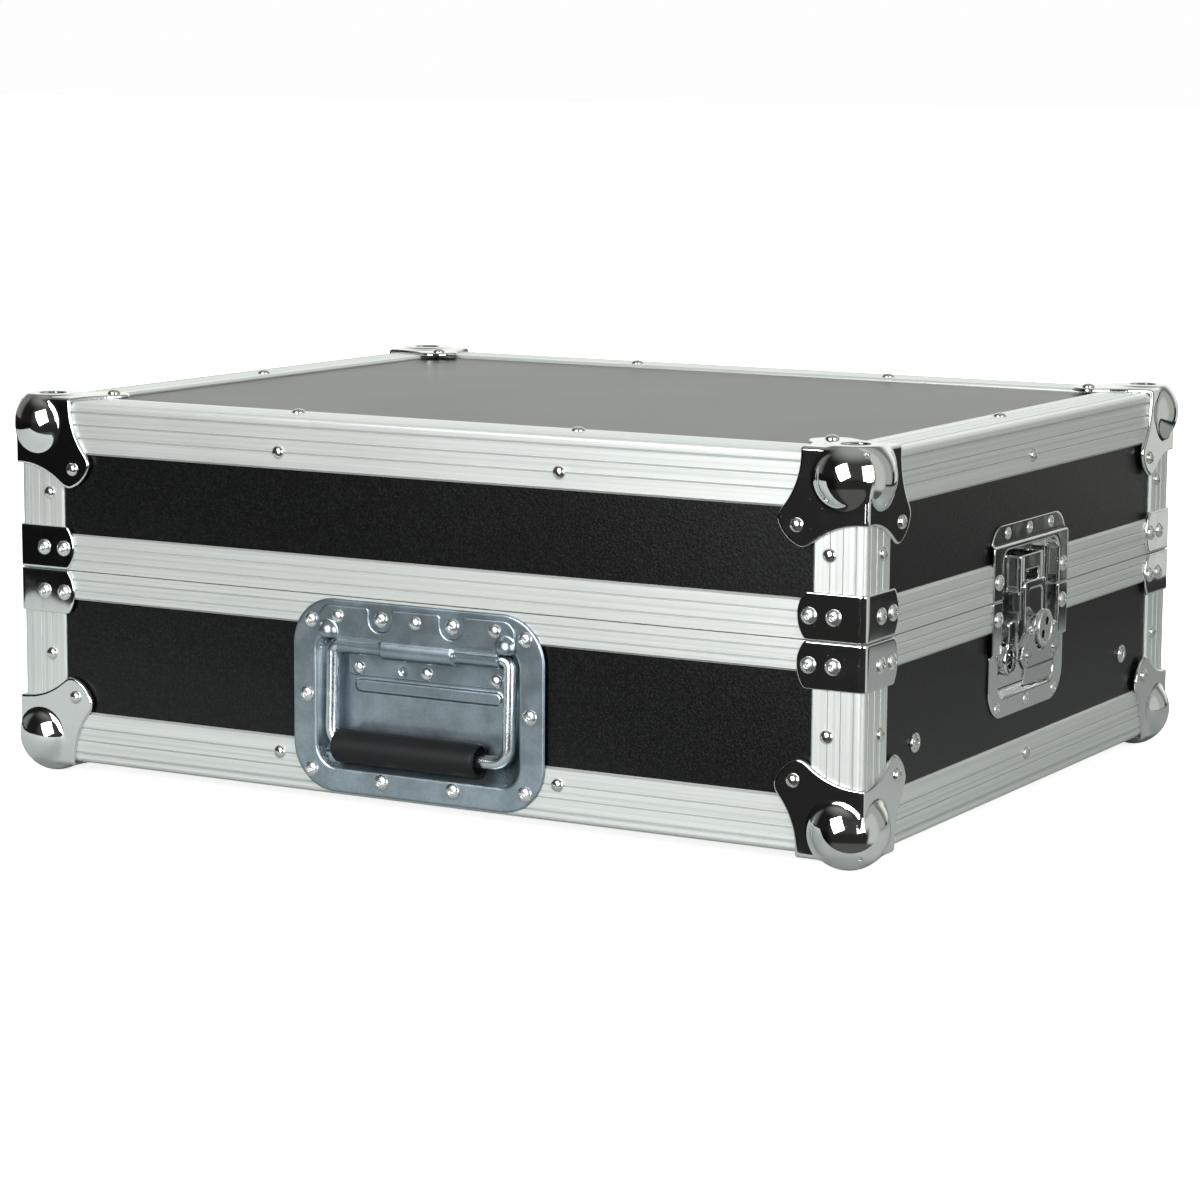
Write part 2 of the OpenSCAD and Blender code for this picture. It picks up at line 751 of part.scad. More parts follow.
// Outline of a corner leaf: hollow curves from the folded edges to a round ear
ear = [ear_at, ear_at];
edge_end = [leaf_edge, 0];
both_r = leaf_sweep + ear_r;
edge_gap = norm(edge_end - ear);
along = (both_r * both_r - leaf_sweep * leaf_sweep + edge_gap * edge_gap) / (2 * edge_gap);
aside = sqrt(both_r * both_r - along * along);
edge_dir = (edge_end - ear) / edge_gap;
sweep_at = ear + along * edge_dir + aside * [-edge_dir[1], edge_dir[0]];
function heading(v) = (atan2(v[1], v[0]) + 360) % 360;
sweep_from = heading(edge_end - sweep_at);
sweep_to = heading(ear - sweep_at);
ear_from = heading(sweep_at - ear) - 360;
sweep_arc = [for (i = [0:arc_steps])
    let (a = sweep_from + (sweep_to - sweep_from) * i / arc_steps)
        sweep_at + leaf_sweep * [cos(a), sin(a)]];
ear_steps = 12;
ear_arc = [for (i = [1:ear_steps - 1])
    let (a = ear_from + (90 - 2 * ear_from) * i / ear_steps) ear + ear_r * [cos(a), sin(a)]];
leaf_points = concat([[-leaf_t, -leaf_t], [leaf_edge, -leaf_t]], sweep_arc, ear_arc,
    flip(sweep_arc), [[-leaf_t, leaf_edge]]);
module leaf() {
    translate([0, 0, -leaf_t]) difference() {
        linear_extrude(leaf_t) polygon(leaf_points);
        translate([ear_at, ear_at, -over])
            cylinder(r = dome_shank_r + hole_fit, h = leaf_t + 2 * over);
    }
}
// A ball corner in the frame of its case corner: inwards is +X, +Y and +Z
ball_in = ball_r - ball_out;
ball_at = [ball_in, ball_in, ball_in];
module ball_below(r, top) {
    intersection() {
        translate(ball_at) sphere(r = r);
        translate([-ball_r, -ball_r, -top]) cube(3 * ball_r);
    }
}
module corner_leaves() {
    leaf();
    rotate([90, 0, 90]) leaf();
    mirror([1, -1, 0]) rotate([90, 0, 90]) leaf();
}
module corner_piece(top, recess) {
    difference() {
        union() {
            ball_below(ball_r, top);
            corner_leaves();
        }
        difference() {
            ball_below(ball_r - ball_t, recess ? top - ball_t : ball_out);
            if (recess) translate([ball_in, ball_in, -top])
                cylinder(r = recess_r + ball_t, h = recess_d + ball_t);
        }
        cube(2 * ear_at);
        if (recess) translate([ball_in, ball_in, -top - over])
            cylinder(r = recess_r, h = recess_d + over);
    }
}
module place_corner(sx, sy, up) {
    mirror([sx, 0, 0]) mirror([0, sy, 0])
        translate([-half_w, -half_d, up ? foot + case_h : foot]) mirror([0, 0, up ? 1 : 0])
            corner_piece(up ? flat_out : ball_r, up);
}
module base_corner(sx, sy) { color("silver") place_corner(sx, sy, false); }
module lid_corner(sx, sy) { color("silver") place_corner(sx, sy, true); }

// Braces wrapped round a vertical edge, free ends bowed out
bow_r = (brace_h * brace_h / 4 + brace_bow * brace_bow) / (2 * brace_bow);
bow_half = asin(brace_h / 2 / bow_r);
brace_points = concat([[-brace_t, 0]],
    [for (i = [0:arc_steps]) let (a = -bow_half + 2 * bow_half * i / arc_steps)
        [brace_w + brace_bow - bow_r + bow_r * cos(a), brace_h / 2 + bow_r * sin(a)]],
    [[-brace_t, brace_h]]);
module brace_leg() {
    difference() {
        linear_extrude(brace_t) polygon(brace_points);
        for (x = [brace_rivet_near, brace_rivet_far]) translate([x, brace_h / 2, -over])
            cylinder(r = pop_shank_r + hole_fit, h = brace_t + 2 * over);
    }
}
module brace() {
    rotate([90, 0, 0]) brace_leg();
    mirror([1, -1, 0]) rotate([90, 0, 0]) brace_leg();
}
module base_braces() {
    color("silver") at_edges() translate([0, 0, foot + base_h - brace_h]) brace();
}
module lid_braces() { color("silver") at_edges() translate([0, 0, foot + lid_low]) brace(); }

// Rivets in their groups
module base_dome_rivets() {
    color("lightgray") {
        on_front() domes(base_long_domes);
        on_back() domes(base_long_domes);
        on_right() domes(base_end_domes);
        on_left() domes(base_end_domes);
        on_bottom() domes(plan_domes);
    }
}
module base_pop_rivets() {
    color("lightgray") {
        on_front() { pops(brace_pops(half_w, brace_low)); pops(handle_pops); }
        on_back() pops(brace_pops(half_w, brace_low));
        on_right() { pops(brace_pops(half_d, brace_low)); pops(latch_base_pops); }
        on_left() { pops(brace_pops(half_d, brace_low)); pops(latch_base_pops); }
    }
}
module lid_dome_rivets() {
    color("lightgray") {
        on_front() domes(lid_long_domes);
        on_back() domes(lid_long_domes);
        on_right() domes(lid_end_domes);
        on_left() domes(lid_end_domes);
        on_top() domes(plan_domes);
    }
}
module lid_pop_rivets() {
    color("lightgray") {
        on_front() pops(brace_pops(half_w, brace_high));
        on_back() pops(brace_pops(half_w, brace_high));
        on_right() { pops(brace_pops(half_d, brace_high)); pops(latch_lid_pops); }
        on_left() { pops(brace_pops(half_d, brace_high)); pops(latch_lid_pops); }
    }
}

// Rack rails: a leg on the wall and a drilled flange on top, in an end face's frame
rail_flange = side_room - inner + rail_lap;
rail_hole_in = side_room + hole_edge;
rail_holes = [for (u = [0:rack_units - 1], k = [0:2])
    u * rack_unit + rack_hole_first + k * rack_hole_step - rail_len / 2];
screw_places = [[-screw_reach, screw_front_up], [screw_reach, screw_back_up]];
// The left wall sees front and back the other way round
function screws_on(left) = [for (p = screw_places) [left ? -p[0] : p[0], p[1]]];
module screw_cuts(left) {
    depth = inner + rail_t + over;
    for (p = screws_on(left)) translate([p[0], p[1], -depth])
        cylinder(r = screw_r + hole_fit, h = depth + over);
}
module rack_rail(left) {
    color("dimgray") difference() {
        translate([0, 0, -inner]) {
            translate([-rail_len / 2, rail_top - rail_leg, -rail_t])
                cube([rail_len, rail_leg, rail_t]);
            translate([-rail_len / 2, rail_top - rail_t, -rail_flange])
                cube([rail_len, rail_t, rail_flange]);
        }
        screw_cuts(left);
        for (y = rail_holes) translate([y, rail_top + over, -rail_hole_in])
            rotate([90, 0, 0]) cylinder(r = rail_hole_r, h = rail_t + 2 * over);
    }
}
module rail_screw() {
    difference() {
        translate([0, 0, -profile_t]) cylinder(r1 = washer_r, r2 = washer_r - washer_h / 2,
            h = washer_h);
        translate([0, 0, -profile_t - over])
            cylinder(r = screw_r + hole_fit, h = washer_h + 2 * over);
    }
    translate([0, 0, washer_h - profile_t]) cylinder(r = screw_head_r, h = screw_head_h);
    translate([0, 0, -inner - rail_t - nut_t])
        cylinder(r = screw_r, h = inner + rail_t + nut_t - profile_t + washer_h);
    translate([0, 0, -inner - rail_t - nut_t]) cylinder(r = nut_r, h = nut_t, $fn = 6);
}
module rail_screws() {
    color("silver") {
        on_right() for (p = screws_on(false)) translate([p[0], p[1], 0]) rail_screw();
        on_left() for (p = screws_on(true)) translate([p[0], p[1], 0]) rail_screw();
    }
}

// Handle, in the front face's frame with X from the middle of the handle
module on_handle() { on_front() translate([handle_x, 0, 0]) children(); }
// A section of the dish: straight above the profile face, drawn in below it
module dish_section(low, high, draw_high, depth, top) {
    polygon([[low, top], [low, 0], [low + dish_draw, -depth], [high - draw_high, -depth],
        [high, 0], [high, top]]);
}
module dish_body(grow, depth, top) {
    x = dish_w / 2 + grow;
    low = dish_floor_z - grow;
    high = dish_floor_z + dish_h + grow;
    intersection() {
        translate([0, 0, -depth]) linear_extrude(depth + top)
            round_box([-x, low], [x, high], dish_round + grow);
        translate([0, high + over, 0]) rotate([90, 0, 0])
            linear_extrude(high - low + 2 * over) dish_section(-x, x, dish_draw, depth, top + over);
        translate([-x - over, 0, 0]) rotate([90, 0, 90]) linear_extrude(2 * (x + over))
            dish_section(low, high, 0, depth, top + over);
    }
}
module strip_cuts() {
    for (p = strip_rivets) translate([p[0], handle_low + p[1], -dish_depth - dish_t - over])
        cylinder(r = dome_shank_r + hole_fit, h = dish_t + strip_out + 2 * over);
}
module handle_dish() {
    color([0.62, 0.68, 0.74]) on_handle() {
        difference() {
            union() {
                linear_extrude(handle_t) round_box([-handle_w / 2, handle_low],
                    [handle_w / 2, handle_top], handle_round);
                dish_body(dish_t, dish_depth + dish_t, handle_t / 2);
            }
            dish_body(0, dish_depth, handle_t + over);
            translate([-handle_x, 0, 0]) pop_cuts(handle_pops);
            for (p = plate_rivets) translate([p[0], handle_low + p[1], -over])
                cylinder(r = dome_shank_r + hole_fit, h = handle_t + 2 * over);
            strip_cuts();
        }
        translate([-bead_half, handle_low + bead_up - bead_h / 2, -dish_depth - dish_t / 4])
            linear_extrude(bead_out + dish_t / 4)
                round_box([0, 0], [2 * bead_half, bead_h], bead_h / 2 - hole_fit);
    }
}
module handle_hinge_plate() {
    top = handle_low + plate_top;
    low = handle_low + plate_low;
    color([0.62, 0.68, 0.74]) on_handle() difference() {
        union() {
            translate([0, 0, handle_t]) linear_extrude(plate_t) difference() {
                round_box([-plate_half, low], [plate_half, top], plate_round);
                for (s = [-1, 1]) translate([s * flange_rivets[2][0], 0]) {
                    translate([0, handle_low + flange_rivets[2][1]]) circle(r = notch_r);
                    translate([-notch_r, handle_low + flange_rivets[2][1]])
                        square([2 * notch_r, notch_r + over]);
                }
            }
            translate([-barrel_reach, low - over, 0]) cube([2 * barrel_reach,
                dish_floor_z + dish_h - hole_fit - low + over, handle_t + plate_t]);
            translate([0, bail_z, -bail_in]) rotate([0, 90, 0]) {
                cylinder(r = barrel_neck_r, h = 2 * barrel_reach, center = true);
                cylinder(r = barrel_r, h = 2 * barrel_half, center = true);
            }
            translate([-strip_half, handle_low + strip_low, -dish_depth])
                cube([2 * strip_half, bail_z - handle_low - strip_low, strip_out]);
            for (s = [-1, 1]) translate([s * bail_half - lug_half, low + plate_t, handle_t])
                cube([2 * lug_half, lug_h, lug_out]);
        }
        translate([0, bail_z, -bail_in]) rotate([0, 90, 0]) {
            cylinder(r = bail_r + 3 * run_fit, h = 3 * barrel_reach, center = true);
            cylinder(r = barrel_r - barrel_wall, h = 2 * (barrel_half - barrel_wall),
                center = true);
        }
        for (p = plate_rivets) translate([p[0], handle_low + p[1], 0])
            cylinder(r = dome_shank_r + hole_fit, h = 3 * plate_t);
        strip_cuts();
    }
}
module handle_plate_rivets() {
    color("lightgray") on_handle() {
        for (p = plate_rivets) translate([p[0], handle_low + p[1], 0]) {
            translate([0, 0, handle_t + plate_t]) dome_head(dome_r, plate_rivet_h);
            cylinder(r = dome_shank_r, h = handle_t + plate_t);
        }
        for (p = strip_rivets) translate([p[0], handle_low + p[1], -dish_depth]) {
            translate([0, 0, strip_out]) dome_head(dome_r, plate_rivet_h);
            translate([0, 0, -dish_t]) cylinder(r = dome_shank_r, h = dish_t + strip_out);
        }
    }
}
module handle_spring() {
    color("gray") on_handle() translate([0, bail_z, -bail_in]) rotate([0, 90, 0]) difference() {
        cylinder(r = barrel_r - barrel_wall - spring_fit, h = 2 * barrel_half - 4 * barrel_wall,
            center = true);
        cylinder(r = bail_r + spring_fit, h = 2 * barrel_half, center = true);
    }
}
// Bail frame: origin on the hinge line, Y along the arms, leaning out as at rest
module on_bail() {
    on_handle() translate([0, bail_z, -bail_in]) rotate([-bail_lean, 0, 0]) children();
}
module bail_rod(reach) { rotate([0, 90, 0]) cylinder(r = bail_r, h = 2 * reach, center = true); }
module handle_bail() {
    color("lightsteelblue") on_bail() {
        bail_rod(bail_half);
        translate([0, -bail_len, 0]) bail_rod(bail_half - bail_bend);
        for (s = [0, 1]) mirror([s, 0, 0]) {
            translate([bail_half, 0, 0]) sphere(r = bail_r);
            translate([bail_half, 0, 0]) rotate([90, 0, 0])
                cylinder(r = bail_r, h = bail_len - bail_bend);
            translate([bail_half - bail_bend, bail_bend - bail_len, 0]) rotate([0, 0, -90])
                rotate_extrude(angle = 90) translate([bail_bend, 0]) circle(r = bail_r);
        }
    }
}
module handle_grip() {
    color([0.08, 0.08, 0.08]) on_bail()
        translate([grip_x, -bail_len, 0]) rotate([0, 90, 0]) difference() {
            cylinder(r = grip_r, h = grip_len, center = true);
            cylinder(r = bail_r + grip_fit, h = grip_len + over, center = true);
            for (s = [0, 1]) mirror([0, 0, s]) translate([0, 0, grip_len / 2 - grip_mouth])
                cylinder(r = grip_mouth_r, h = grip_mouth + over);
        }
}

// Latch, in an end face's frame
module on_end(left) { if (left) on_left() children(); else on_right() children(); }
// A latch plate: a strip stepped from the rim down to the panel, cut to its outline
module stepped_strip(points) {
    translate([-latch_w / 2, 0, 0]) rotate([90, 0, 90]) linear_extrude(latch_w) polygon(points);
}
function strip_points(rim_end, step, panel_end) = let (slope = (step > 0 ? 1 : -1) * profile_t) [
    [base_h + rim_end, 0], [base_h + rim_end, latch_t], [base_h + step, latch_t],
    [base_h + step + slope, panel_seat], [base_h + panel_end, panel_seat],
    [base_h + panel_end, -profile_t], [base_h + step + slope / 2, -profile_t],
    [base_h + step - slope / 2, 0]];
module latch_outline(low, high, r) {
    linear_extrude(4 * latch_depth, center = true)
        round_box([-latch_w / 2, low], [latch_w / 2, high], r);
}
module latch_pan(grow, low, high, deep) {
    translate([0, 0, -deep]) linear_extrude(deep + latch_t + over)
        round_box([-latch_half - grow, low], [latch_half + grow, high], latch_round_dish + grow);
}
module latch_base_dish(left) {
    low = base_h - latch_dish_down;
    color("silver") on_end(left) {
        difference() {
            union() {
                intersection() {
                    stepped_strip(strip_points(0, -step_down, -latch_down));
                    latch_outline(base_h - latch_down, base_h + latch_down, latch_round_down);
                }
                intersection() {
                    latch_pan(latch_t, low - latch_t, base_h + latch_down, latch_depth + latch_t);
                    translate([-latch_w / 2, 0, -2 * latch_depth])
                        cube([latch_w, base_h, 2 * latch_depth]);
                }
            }
            difference() {
                latch_pan(0, low, base_h + latch_down, latch_depth);
                padlock_eye();
            }
            translate([0, spindle_z, -2 * latch_depth])
                cylinder(r = journal_r + run_fit, h = 2 * latch_depth);
            pop_cuts(latch_base_pops);
        }
    }
}
module padlock_eye() {
    at = [eye_ring_at[0], spindle_z + eye_ring_at[1], -latch_depth - latch_t / 2];
    translate(at) difference() {
        cylinder(r = eye_ring_r, h = eye_ring_h + latch_t / 2);
        cylinder(r = eye_ring_bore, h = 2 * eye_ring_h);
    }
    translate([at[0] - eye_tab_half, at[1] + eye_ring_bore + over, eye_ring_h - latch_depth - eye_tab_t])
        cube([2 * eye_tab_half, eye_tab_top - eye_ring_at[1] - eye_ring_bore - over, eye_tab_t]);
}
module latch_lid_dish(left) {
    high = base_h + latch_dish_up;
    color("silver") on_end(left) difference() {
        union() {
            intersection() {
                stepped_strip(strip_points(split_gap, step_up, latch_up));
                latch_outline(base_h - latch_up, base_h + latch_up, latch_round_up);
            }
            intersection() {
                latch_pan(latch_t, base_h - latch_up, high + latch_t, latch_depth + latch_t);
                translate([-latch_w / 2, lid_low, -2 * latch_depth])
                    cube([latch_w, latch_up, 2 * latch_depth]);
            }
        }
        latch_pan(0, base_h - latch_up, high, latch_depth);
        pop_cuts(latch_lid_pops);
    }
}
module latch_keeper(left) {
    slot_low = base_h + hook_up - hook_t - slot_seat;
    color("silver") on_end(left) difference() {
        translate([0, base_h + keeper_bottom, 0]) {
            translate([-keeper_half, 0, -latch_depth]) difference() {
                cube([2 * keeper_half, keeper_top - keeper_bottom, latch_depth + keeper_t]);
                translate([keeper_t, -over, -over]) cube([2 * (keeper_half - keeper_t),
                    keeper_top - keeper_bottom + 2 * over, latch_depth + over]);
            }
        }
        translate([-slot_half, slot_low, -over]) cube([2 * slot_half, slot_h, keeper_t + 2 * over]);
    }
}
module latch_spindle(left) {
    color("silver") on_end(left) translate([0, spindle_z, 0]) difference() {
        union() {
            translate([0, 0, -latch_depth - latch_t - tail_t - hole_fit]) {
                cylinder(r = tail_r, h = tail_t);
                cylinder(r = journal_r, h = latch_depth);
            }
            translate([0, 0, hole_fit - latch_depth])
                cylinder(r = shoulder_r, h = latch_depth + hook_out - 3 * hole_fit);
            translate([0, -cam_throw, hook_out - 3 * hole_fit])
                cylinder(r = cam_r, h = boss_out - boss_t - hook_out + 3 * hole_fit);
            translate([0, 0, boss_out - boss_t]) cylinder(r = boss_r, h = boss_t);
        }
        rotate([0, 0, eye_turn]) for (s = [-1, 1])
            translate([s * eye_reach, 0, boss_out - eye_depth]) cylinder(r = eye_r, h = boss_t);
        translate([0, 0, wing_axis_out]) rotate([0, 90, 0])
            cylinder(r = wing_pin_r + run_fit, h = 3 * boss_r, center = true);
    }
}
// Side line of the wing: outer face from the knuckle to the fold and the flap tip
wing_face = wing_axis_out + wing_t / 2;
wing_side = [
    [0, wing_face], [wing_fold, wing_face - wing_lean], [wing_tip, wing_face - wing_lean - flap_lean],
    [wing_tip, wing_face - wing_lean - flap_lean - wing_t], [wing_fold, wing_face - wing_lean - wing_t],
    [0, wing_face - wing_t]];
module latch_wing(left) {
    width = 2 * wing_line[2][0];
    color("silver") on_end(left) translate([0, spindle_z, 0]) {
        difference() {
            union() {
                intersection() {
                    translate([-width / 2, 0, 0]) rotate([90, 0, 90]) linear_extrude(width)
                        polygon(wing_side);
                    linear_extrude(boss_out + over) polygon(concat(
                        [for (p = wing_line) [p[0], p[1]]],
                        [for (i = [len(wing_line) - 1:-1:0]) [-wing_line[i][0], wing_line[i][1]]]));
                }
                for (s = [0, 1]) mirror([s, 0, 0]) translate([boss_r + knuckle_gap, 0, wing_axis_out])
                    rotate([0, 90, 0]) cylinder(r = knuckle_r, h = wing_arm - boss_r - knuckle_gap);
            }
            difference() {
                cylinder(r = wing_eye_r, h = 2 * boss_out);
                translate([0, 0, wing_axis_out]) rotate([0, 90, 0])
                    cylinder(r = knuckle_r, h = 2 * wing_arm, center = true);
            }
            cylinder(r = boss_r + knuckle_gap, h = 2 * boss_out);
            translate([0, 0, wing_axis_out]) rotate([0, 90, 0])
                cylinder(r = wing_pin_r + run_fit / 2, h = 3 * wing_arm, center = true);
        }
        for (s = [-1, 1]) translate([s * wing_stud_at[0], wing_stud_at[1],
            wing_face + wing_lean * wing_stud_at[1] / -wing_fold - wing_t / 2])
            cylinder(r = wing_stud_r, h = wing_stud_h + wing_t / 2);
    }
}
module latch_wing_pin(left) {
    color("gray") on_end(left) translate([0, spindle_z, wing_axis_out]) rotate([0, 90, 0])
        cylinder(r = wing_pin_r, h = 2 * wing_arm, center = true);
}
module latch_hook(left) {
    slot_w = cam_throw + hook_play;
    color("silver") on_end(left) {
        difference() {
            translate([-hook_half, base_h - hook_down, hook_out])
                cube([2 * hook_half, hook_down + hook_up, hook_t]);
            translate([0, spindle_z - cam_throw, hook_out - over]) linear_extrude(hook_t + 2 * over)
                round_box([-cam_r - slot_w, -cam_r - hook_play], [cam_r + slot_w, cam_r + hook_play],
                    cam_r + hook_play - hole_fit);
        }
        translate([-lip_half, base_h + hook_up - hook_t, hook_out - lip_in])
            cube([2 * lip_half, hook_t, lip_in + hook_t]);
    }
}

module lid_foam() {
    wall = inner + rim_inner_t + foam_gap;
    color([0.2, 0.2, 0.2]) translate([wall - half_w, wall - half_d, foot + lid_panel_top - foam_t])
        cube([case_w - 2 * wall, case_d - 2 * wall, foam_t]);
}

base_floor();
base_front_panel();
base_back_panel();
on_left() base_end_panel(true);  // base_left_panel
on_right() base_end_panel(false);  // base_right_panel
base_front_angle();
base_back_angle();
base_end_angle(-90);  // base_left_angle
base_end_angle(90);  // base_right_angle
base_posts();
base_rim();
base_corner(0, 0);  // base_corner_front_left
base_corner(1, 0);  // base_corner_front_right
base_corner(0, 1);  // base_corner_back_left
base_corner(1, 1);  // base_corner_back_right
base_braces();
base_dome_rivets();
base_pop_rivets();
on_left() rack_rail(true);  // rack_rail_left
on_right() rack_rail(false);  // rack_rail_right
rail_screws();
handle_dish();
handle_hinge_plate();
handle_plate_rivets();
handle_spring();
handle_bail();
handle_grip();
latch_base_dish(true);  // latch_left_base_dish
latch_spindle(true);  // latch_left_spindle
latch_wing(true);  // latch_left_wing
latch_wing_pin(true);  // latch_left_wing_pin
latch_hook(true);  // latch_left_hook
latch_lid_dish(true);  // latch_left_lid_dish
latch_keeper(true);  // latch_left_keeper
latch_base_dish(false);  // latch_right_base_dish
latch_spindle(false);  // latch_right_spindle
latch_wing(false);  // latch_right_wing
latch_wing_pin(false);  // latch_right_wing_pin
latch_hook(false);  // latch_right_hook
latch_lid_dish(false);  // latch_right_lid_dish
latch_keeper(false);  // latch_right_keeper
lid_top_panel();
on_front() lid_long_panel();  // lid_front_panel
on_back() lid_long_panel();  // lid_back_panel
on_left() lid_end_panel();  // lid_left_panel
on_right() lid_end_panel();  // lid_right_panel
lid_long_angle(0);  // lid_front_angle
lid_long_angle(180);  // lid_back_angle
lid_end_angle(-90);  // lid_left_angle
lid_end_angle(90);  // lid_right_angle
lid_posts();
lid_rim();
lid_corner(0, 0);  // lid_corner_front_left
lid_corner(1, 0);  // lid_corner_front_right
lid_corner(0, 1);  // lid_corner_back_left
lid_corner(1, 1);  // lid_corner_back_right
lid_braces();
lid_dome_rivets();
lid_pop_rivets();
lid_foam();
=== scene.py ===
"""Looks for a mixer rack case: laminate walls, satin edge profiles, chromed corners and latches."""

import functools
import math

import bmesh
import bpy
import numpy as np
from mathutils import Matrix, Vector


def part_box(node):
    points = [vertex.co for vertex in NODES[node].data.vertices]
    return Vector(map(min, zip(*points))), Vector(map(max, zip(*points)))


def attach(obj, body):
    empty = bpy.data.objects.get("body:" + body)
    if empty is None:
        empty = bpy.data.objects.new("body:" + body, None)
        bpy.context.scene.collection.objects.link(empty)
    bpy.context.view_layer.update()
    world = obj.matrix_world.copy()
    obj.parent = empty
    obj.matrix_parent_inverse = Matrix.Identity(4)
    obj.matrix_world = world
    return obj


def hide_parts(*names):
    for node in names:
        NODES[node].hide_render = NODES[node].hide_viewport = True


bl_info = {
    "name": "Mixer Rack Case Looks",
    "version": (1, 0, 0),
    "blender": (4, 5, 0),
    "location": "View3D > Sidebar > Rack Case",
    "description": "Dresses the packed mixer rack case with its pressed metal, rivets and finishes",
    "category": "Object",
}

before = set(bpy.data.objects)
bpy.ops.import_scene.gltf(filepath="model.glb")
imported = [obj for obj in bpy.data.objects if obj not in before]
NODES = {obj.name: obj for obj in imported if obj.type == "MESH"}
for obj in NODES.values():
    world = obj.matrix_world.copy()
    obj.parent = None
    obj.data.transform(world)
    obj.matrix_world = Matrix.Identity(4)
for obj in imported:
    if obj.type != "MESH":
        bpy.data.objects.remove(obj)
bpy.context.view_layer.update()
MM = 0.001

# Sizes in millimetres that the pieces share; the case's own come from the frame
POST_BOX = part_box("base_posts")
HALF_W = POST_BOX[1].x / MM
HALF_D = POST_BOX[1].y / MM
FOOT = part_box("base_front_angle")[0].z / MM
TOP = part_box("lid_front_angle")[1].z / MM
SPLIT = POST_BOX[1].z / MM
SPLIT_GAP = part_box("lid_posts")[0].z / MM - SPLIT
BASE_H = SPLIT - FOOT
CASE_H = TOP - FOOT
THIRD = HALF_W / 3
LEG = 30.0
BASE_RIM = 16.7
LID_RIM = 21.6
RIVET_LINE = 20.5
EAR = 38.5
LEAF_T = 2.2
BRACE_T = 1.5
BRACE_H = 25.0
HANDLE_X = 1.5
HANDLE_LOW = 1.9
PLATE_T = 1.5
DISH_DEPTH = 11.0
BARREL_UP = 85.0
BARREL_OUT = -3.0
LATCH_T = 1.2
LATCH_DEPTH = 8.0
SPINDLE = -19.0
EYE_TURN = 52.0
EYE_OUT = 4.3
EYE_R = 2.4
WING_AXIS = 8.5


def millimetres(name, about, default, low, high):
    """A size that a user may change"""
    return bpy.props.FloatProperty(name=name, description=f"{about}, in millimetres",
                                   default=default, min=low, max=high)


def tint(name, about, default):
    """A colour that a user may change"""
    return bpy.props.FloatVectorProperty(name=name, description=about, subtype="COLOR",
                                         default=default, size=3, min=0.0, max=1.0)


class CaseShape(bpy.types.PropertyGroup):
    """Sizes of the pressed metal that a user would change"""

    ball_radius: millimetres("Ball radius", "Radius of the corner balls", 21.9, 18.0, 23.0)
    ball_inset: millimetres("Ball inset", "Ball centre from each face", 13.2, 9.0, 15.0)
    ball_fillet: millimetres("Ball fillet", "Blend between ball and leaf", 1.7, 1.0, 8.0)
    dome_radius: millimetres("Domed rivet radius", "Radius of a domed head", 3.8, 3.0, 4.2)
    dome_height: millimetres("Domed rivet height", "Height of a domed head", 2.2, 1.5, 2.6)
    pop_radius: millimetres("Pop rivet radius", "Radius of a pop rivet head", 4.5, 3.5, 4.8)
    pop_height: millimetres("Pop rivet height", "Height of a pop rivet head", 1.9, 1.2, 2.2)


class CaseFinish(bpy.types.PropertyGroup):
    """Colours of the finishes"""

    laminate: tint("Laminate", "Base colour of the wall laminate", (0.0012, 0.0013, 0.0014))
    laminate_fleck: tint("Laminate fleck", "Colour of the fine fleck in the laminate",
                         (0.0155, 0.0163, 0.018))
    profile: tint("Profile", "Colour of the anodised profiles", (0.70, 0.735, 0.715))
    chrome: tint("Chrome", "Colour of the bright pressings", (0.80, 0.81, 0.815))
    zinc: tint("Zinc", "Colour of the plated handle", (0.345, 0.42, 0.468))
    grip: tint("Grip", "Colour of the moulded grip", (0.007, 0.0075, 0.008))
    floor: tint("Floor", "Colour of the floor", (0.93, 0.935, 0.93))


def shape():
    return bpy.context.scene.case_shape


def tone(name, share=1.0):
    """The colour of a finish, made darker or brighter"""
    return tuple(min(1.0, c * share) for c in getattr(bpy.context.scene.case_finish, name))


# Shader maths

def maths_of(operation, swapped=False):
    """An operator of Wire that adds a Math node"""
    def method(self, *other):
        values = (*other, self) if swapped else (self, *other)
        return self.look.maths(operation, *values)
    return method


class Wire:
    """A socket that can be used in plain arithmetic"""

    __add__ = __radd__ = maths_of("ADD")
    __sub__ = maths_of("SUBTRACT")
    __rsub__ = maths_of("SUBTRACT", True)
    __mul__ = __rmul__ = maths_of("MULTIPLY")
    __truediv__ = maths_of("DIVIDE")
    __pow__ = maths_of("POWER")
    __abs__ = maths_of("ABSOLUTE")
    low = maths_of("MINIMUM")
    high = maths_of("MAXIMUM")

    def __init__(self, look, socket):
        self.look = look
        self.socket = socket

    def ramp(self, start, end):
        """0 below start, 1 above end, smooth between"""
        node = self.look.node("ShaderNodeMapRange", {"interpolation_type": "SMOOTHSTEP"},
                              Value=self, **{"From Min": start, "From Max": end})
        return Wire(self.look, node.outputs[0])


class Tree:
    """A node tree and short ways to add to it"""

    def __init__(self, tree):
        self.tree = tree
        tree.nodes.clear()

    def link(self, value, socket):
        if isinstance(value, Wire):
            value = value.socket
        if hasattr(value, "links"):
            self.tree.links.new(value, socket)
        elif socket.type == "RGBA":
            socket.default_value = (*value, 1.0)
        else:
            socket.default_value = value

    def node(self, kind, settings=None, values=(), **links):
        """A node with its settings, then its sockets by place and by name"""
        made = self.tree.nodes.new(kind)
        for key, value in (settings or {}).items():
            setattr(made, key, value)
        for key, value in (*enumerate(values), *links.items()):
            self.link(value, made.inputs[key])
        return made


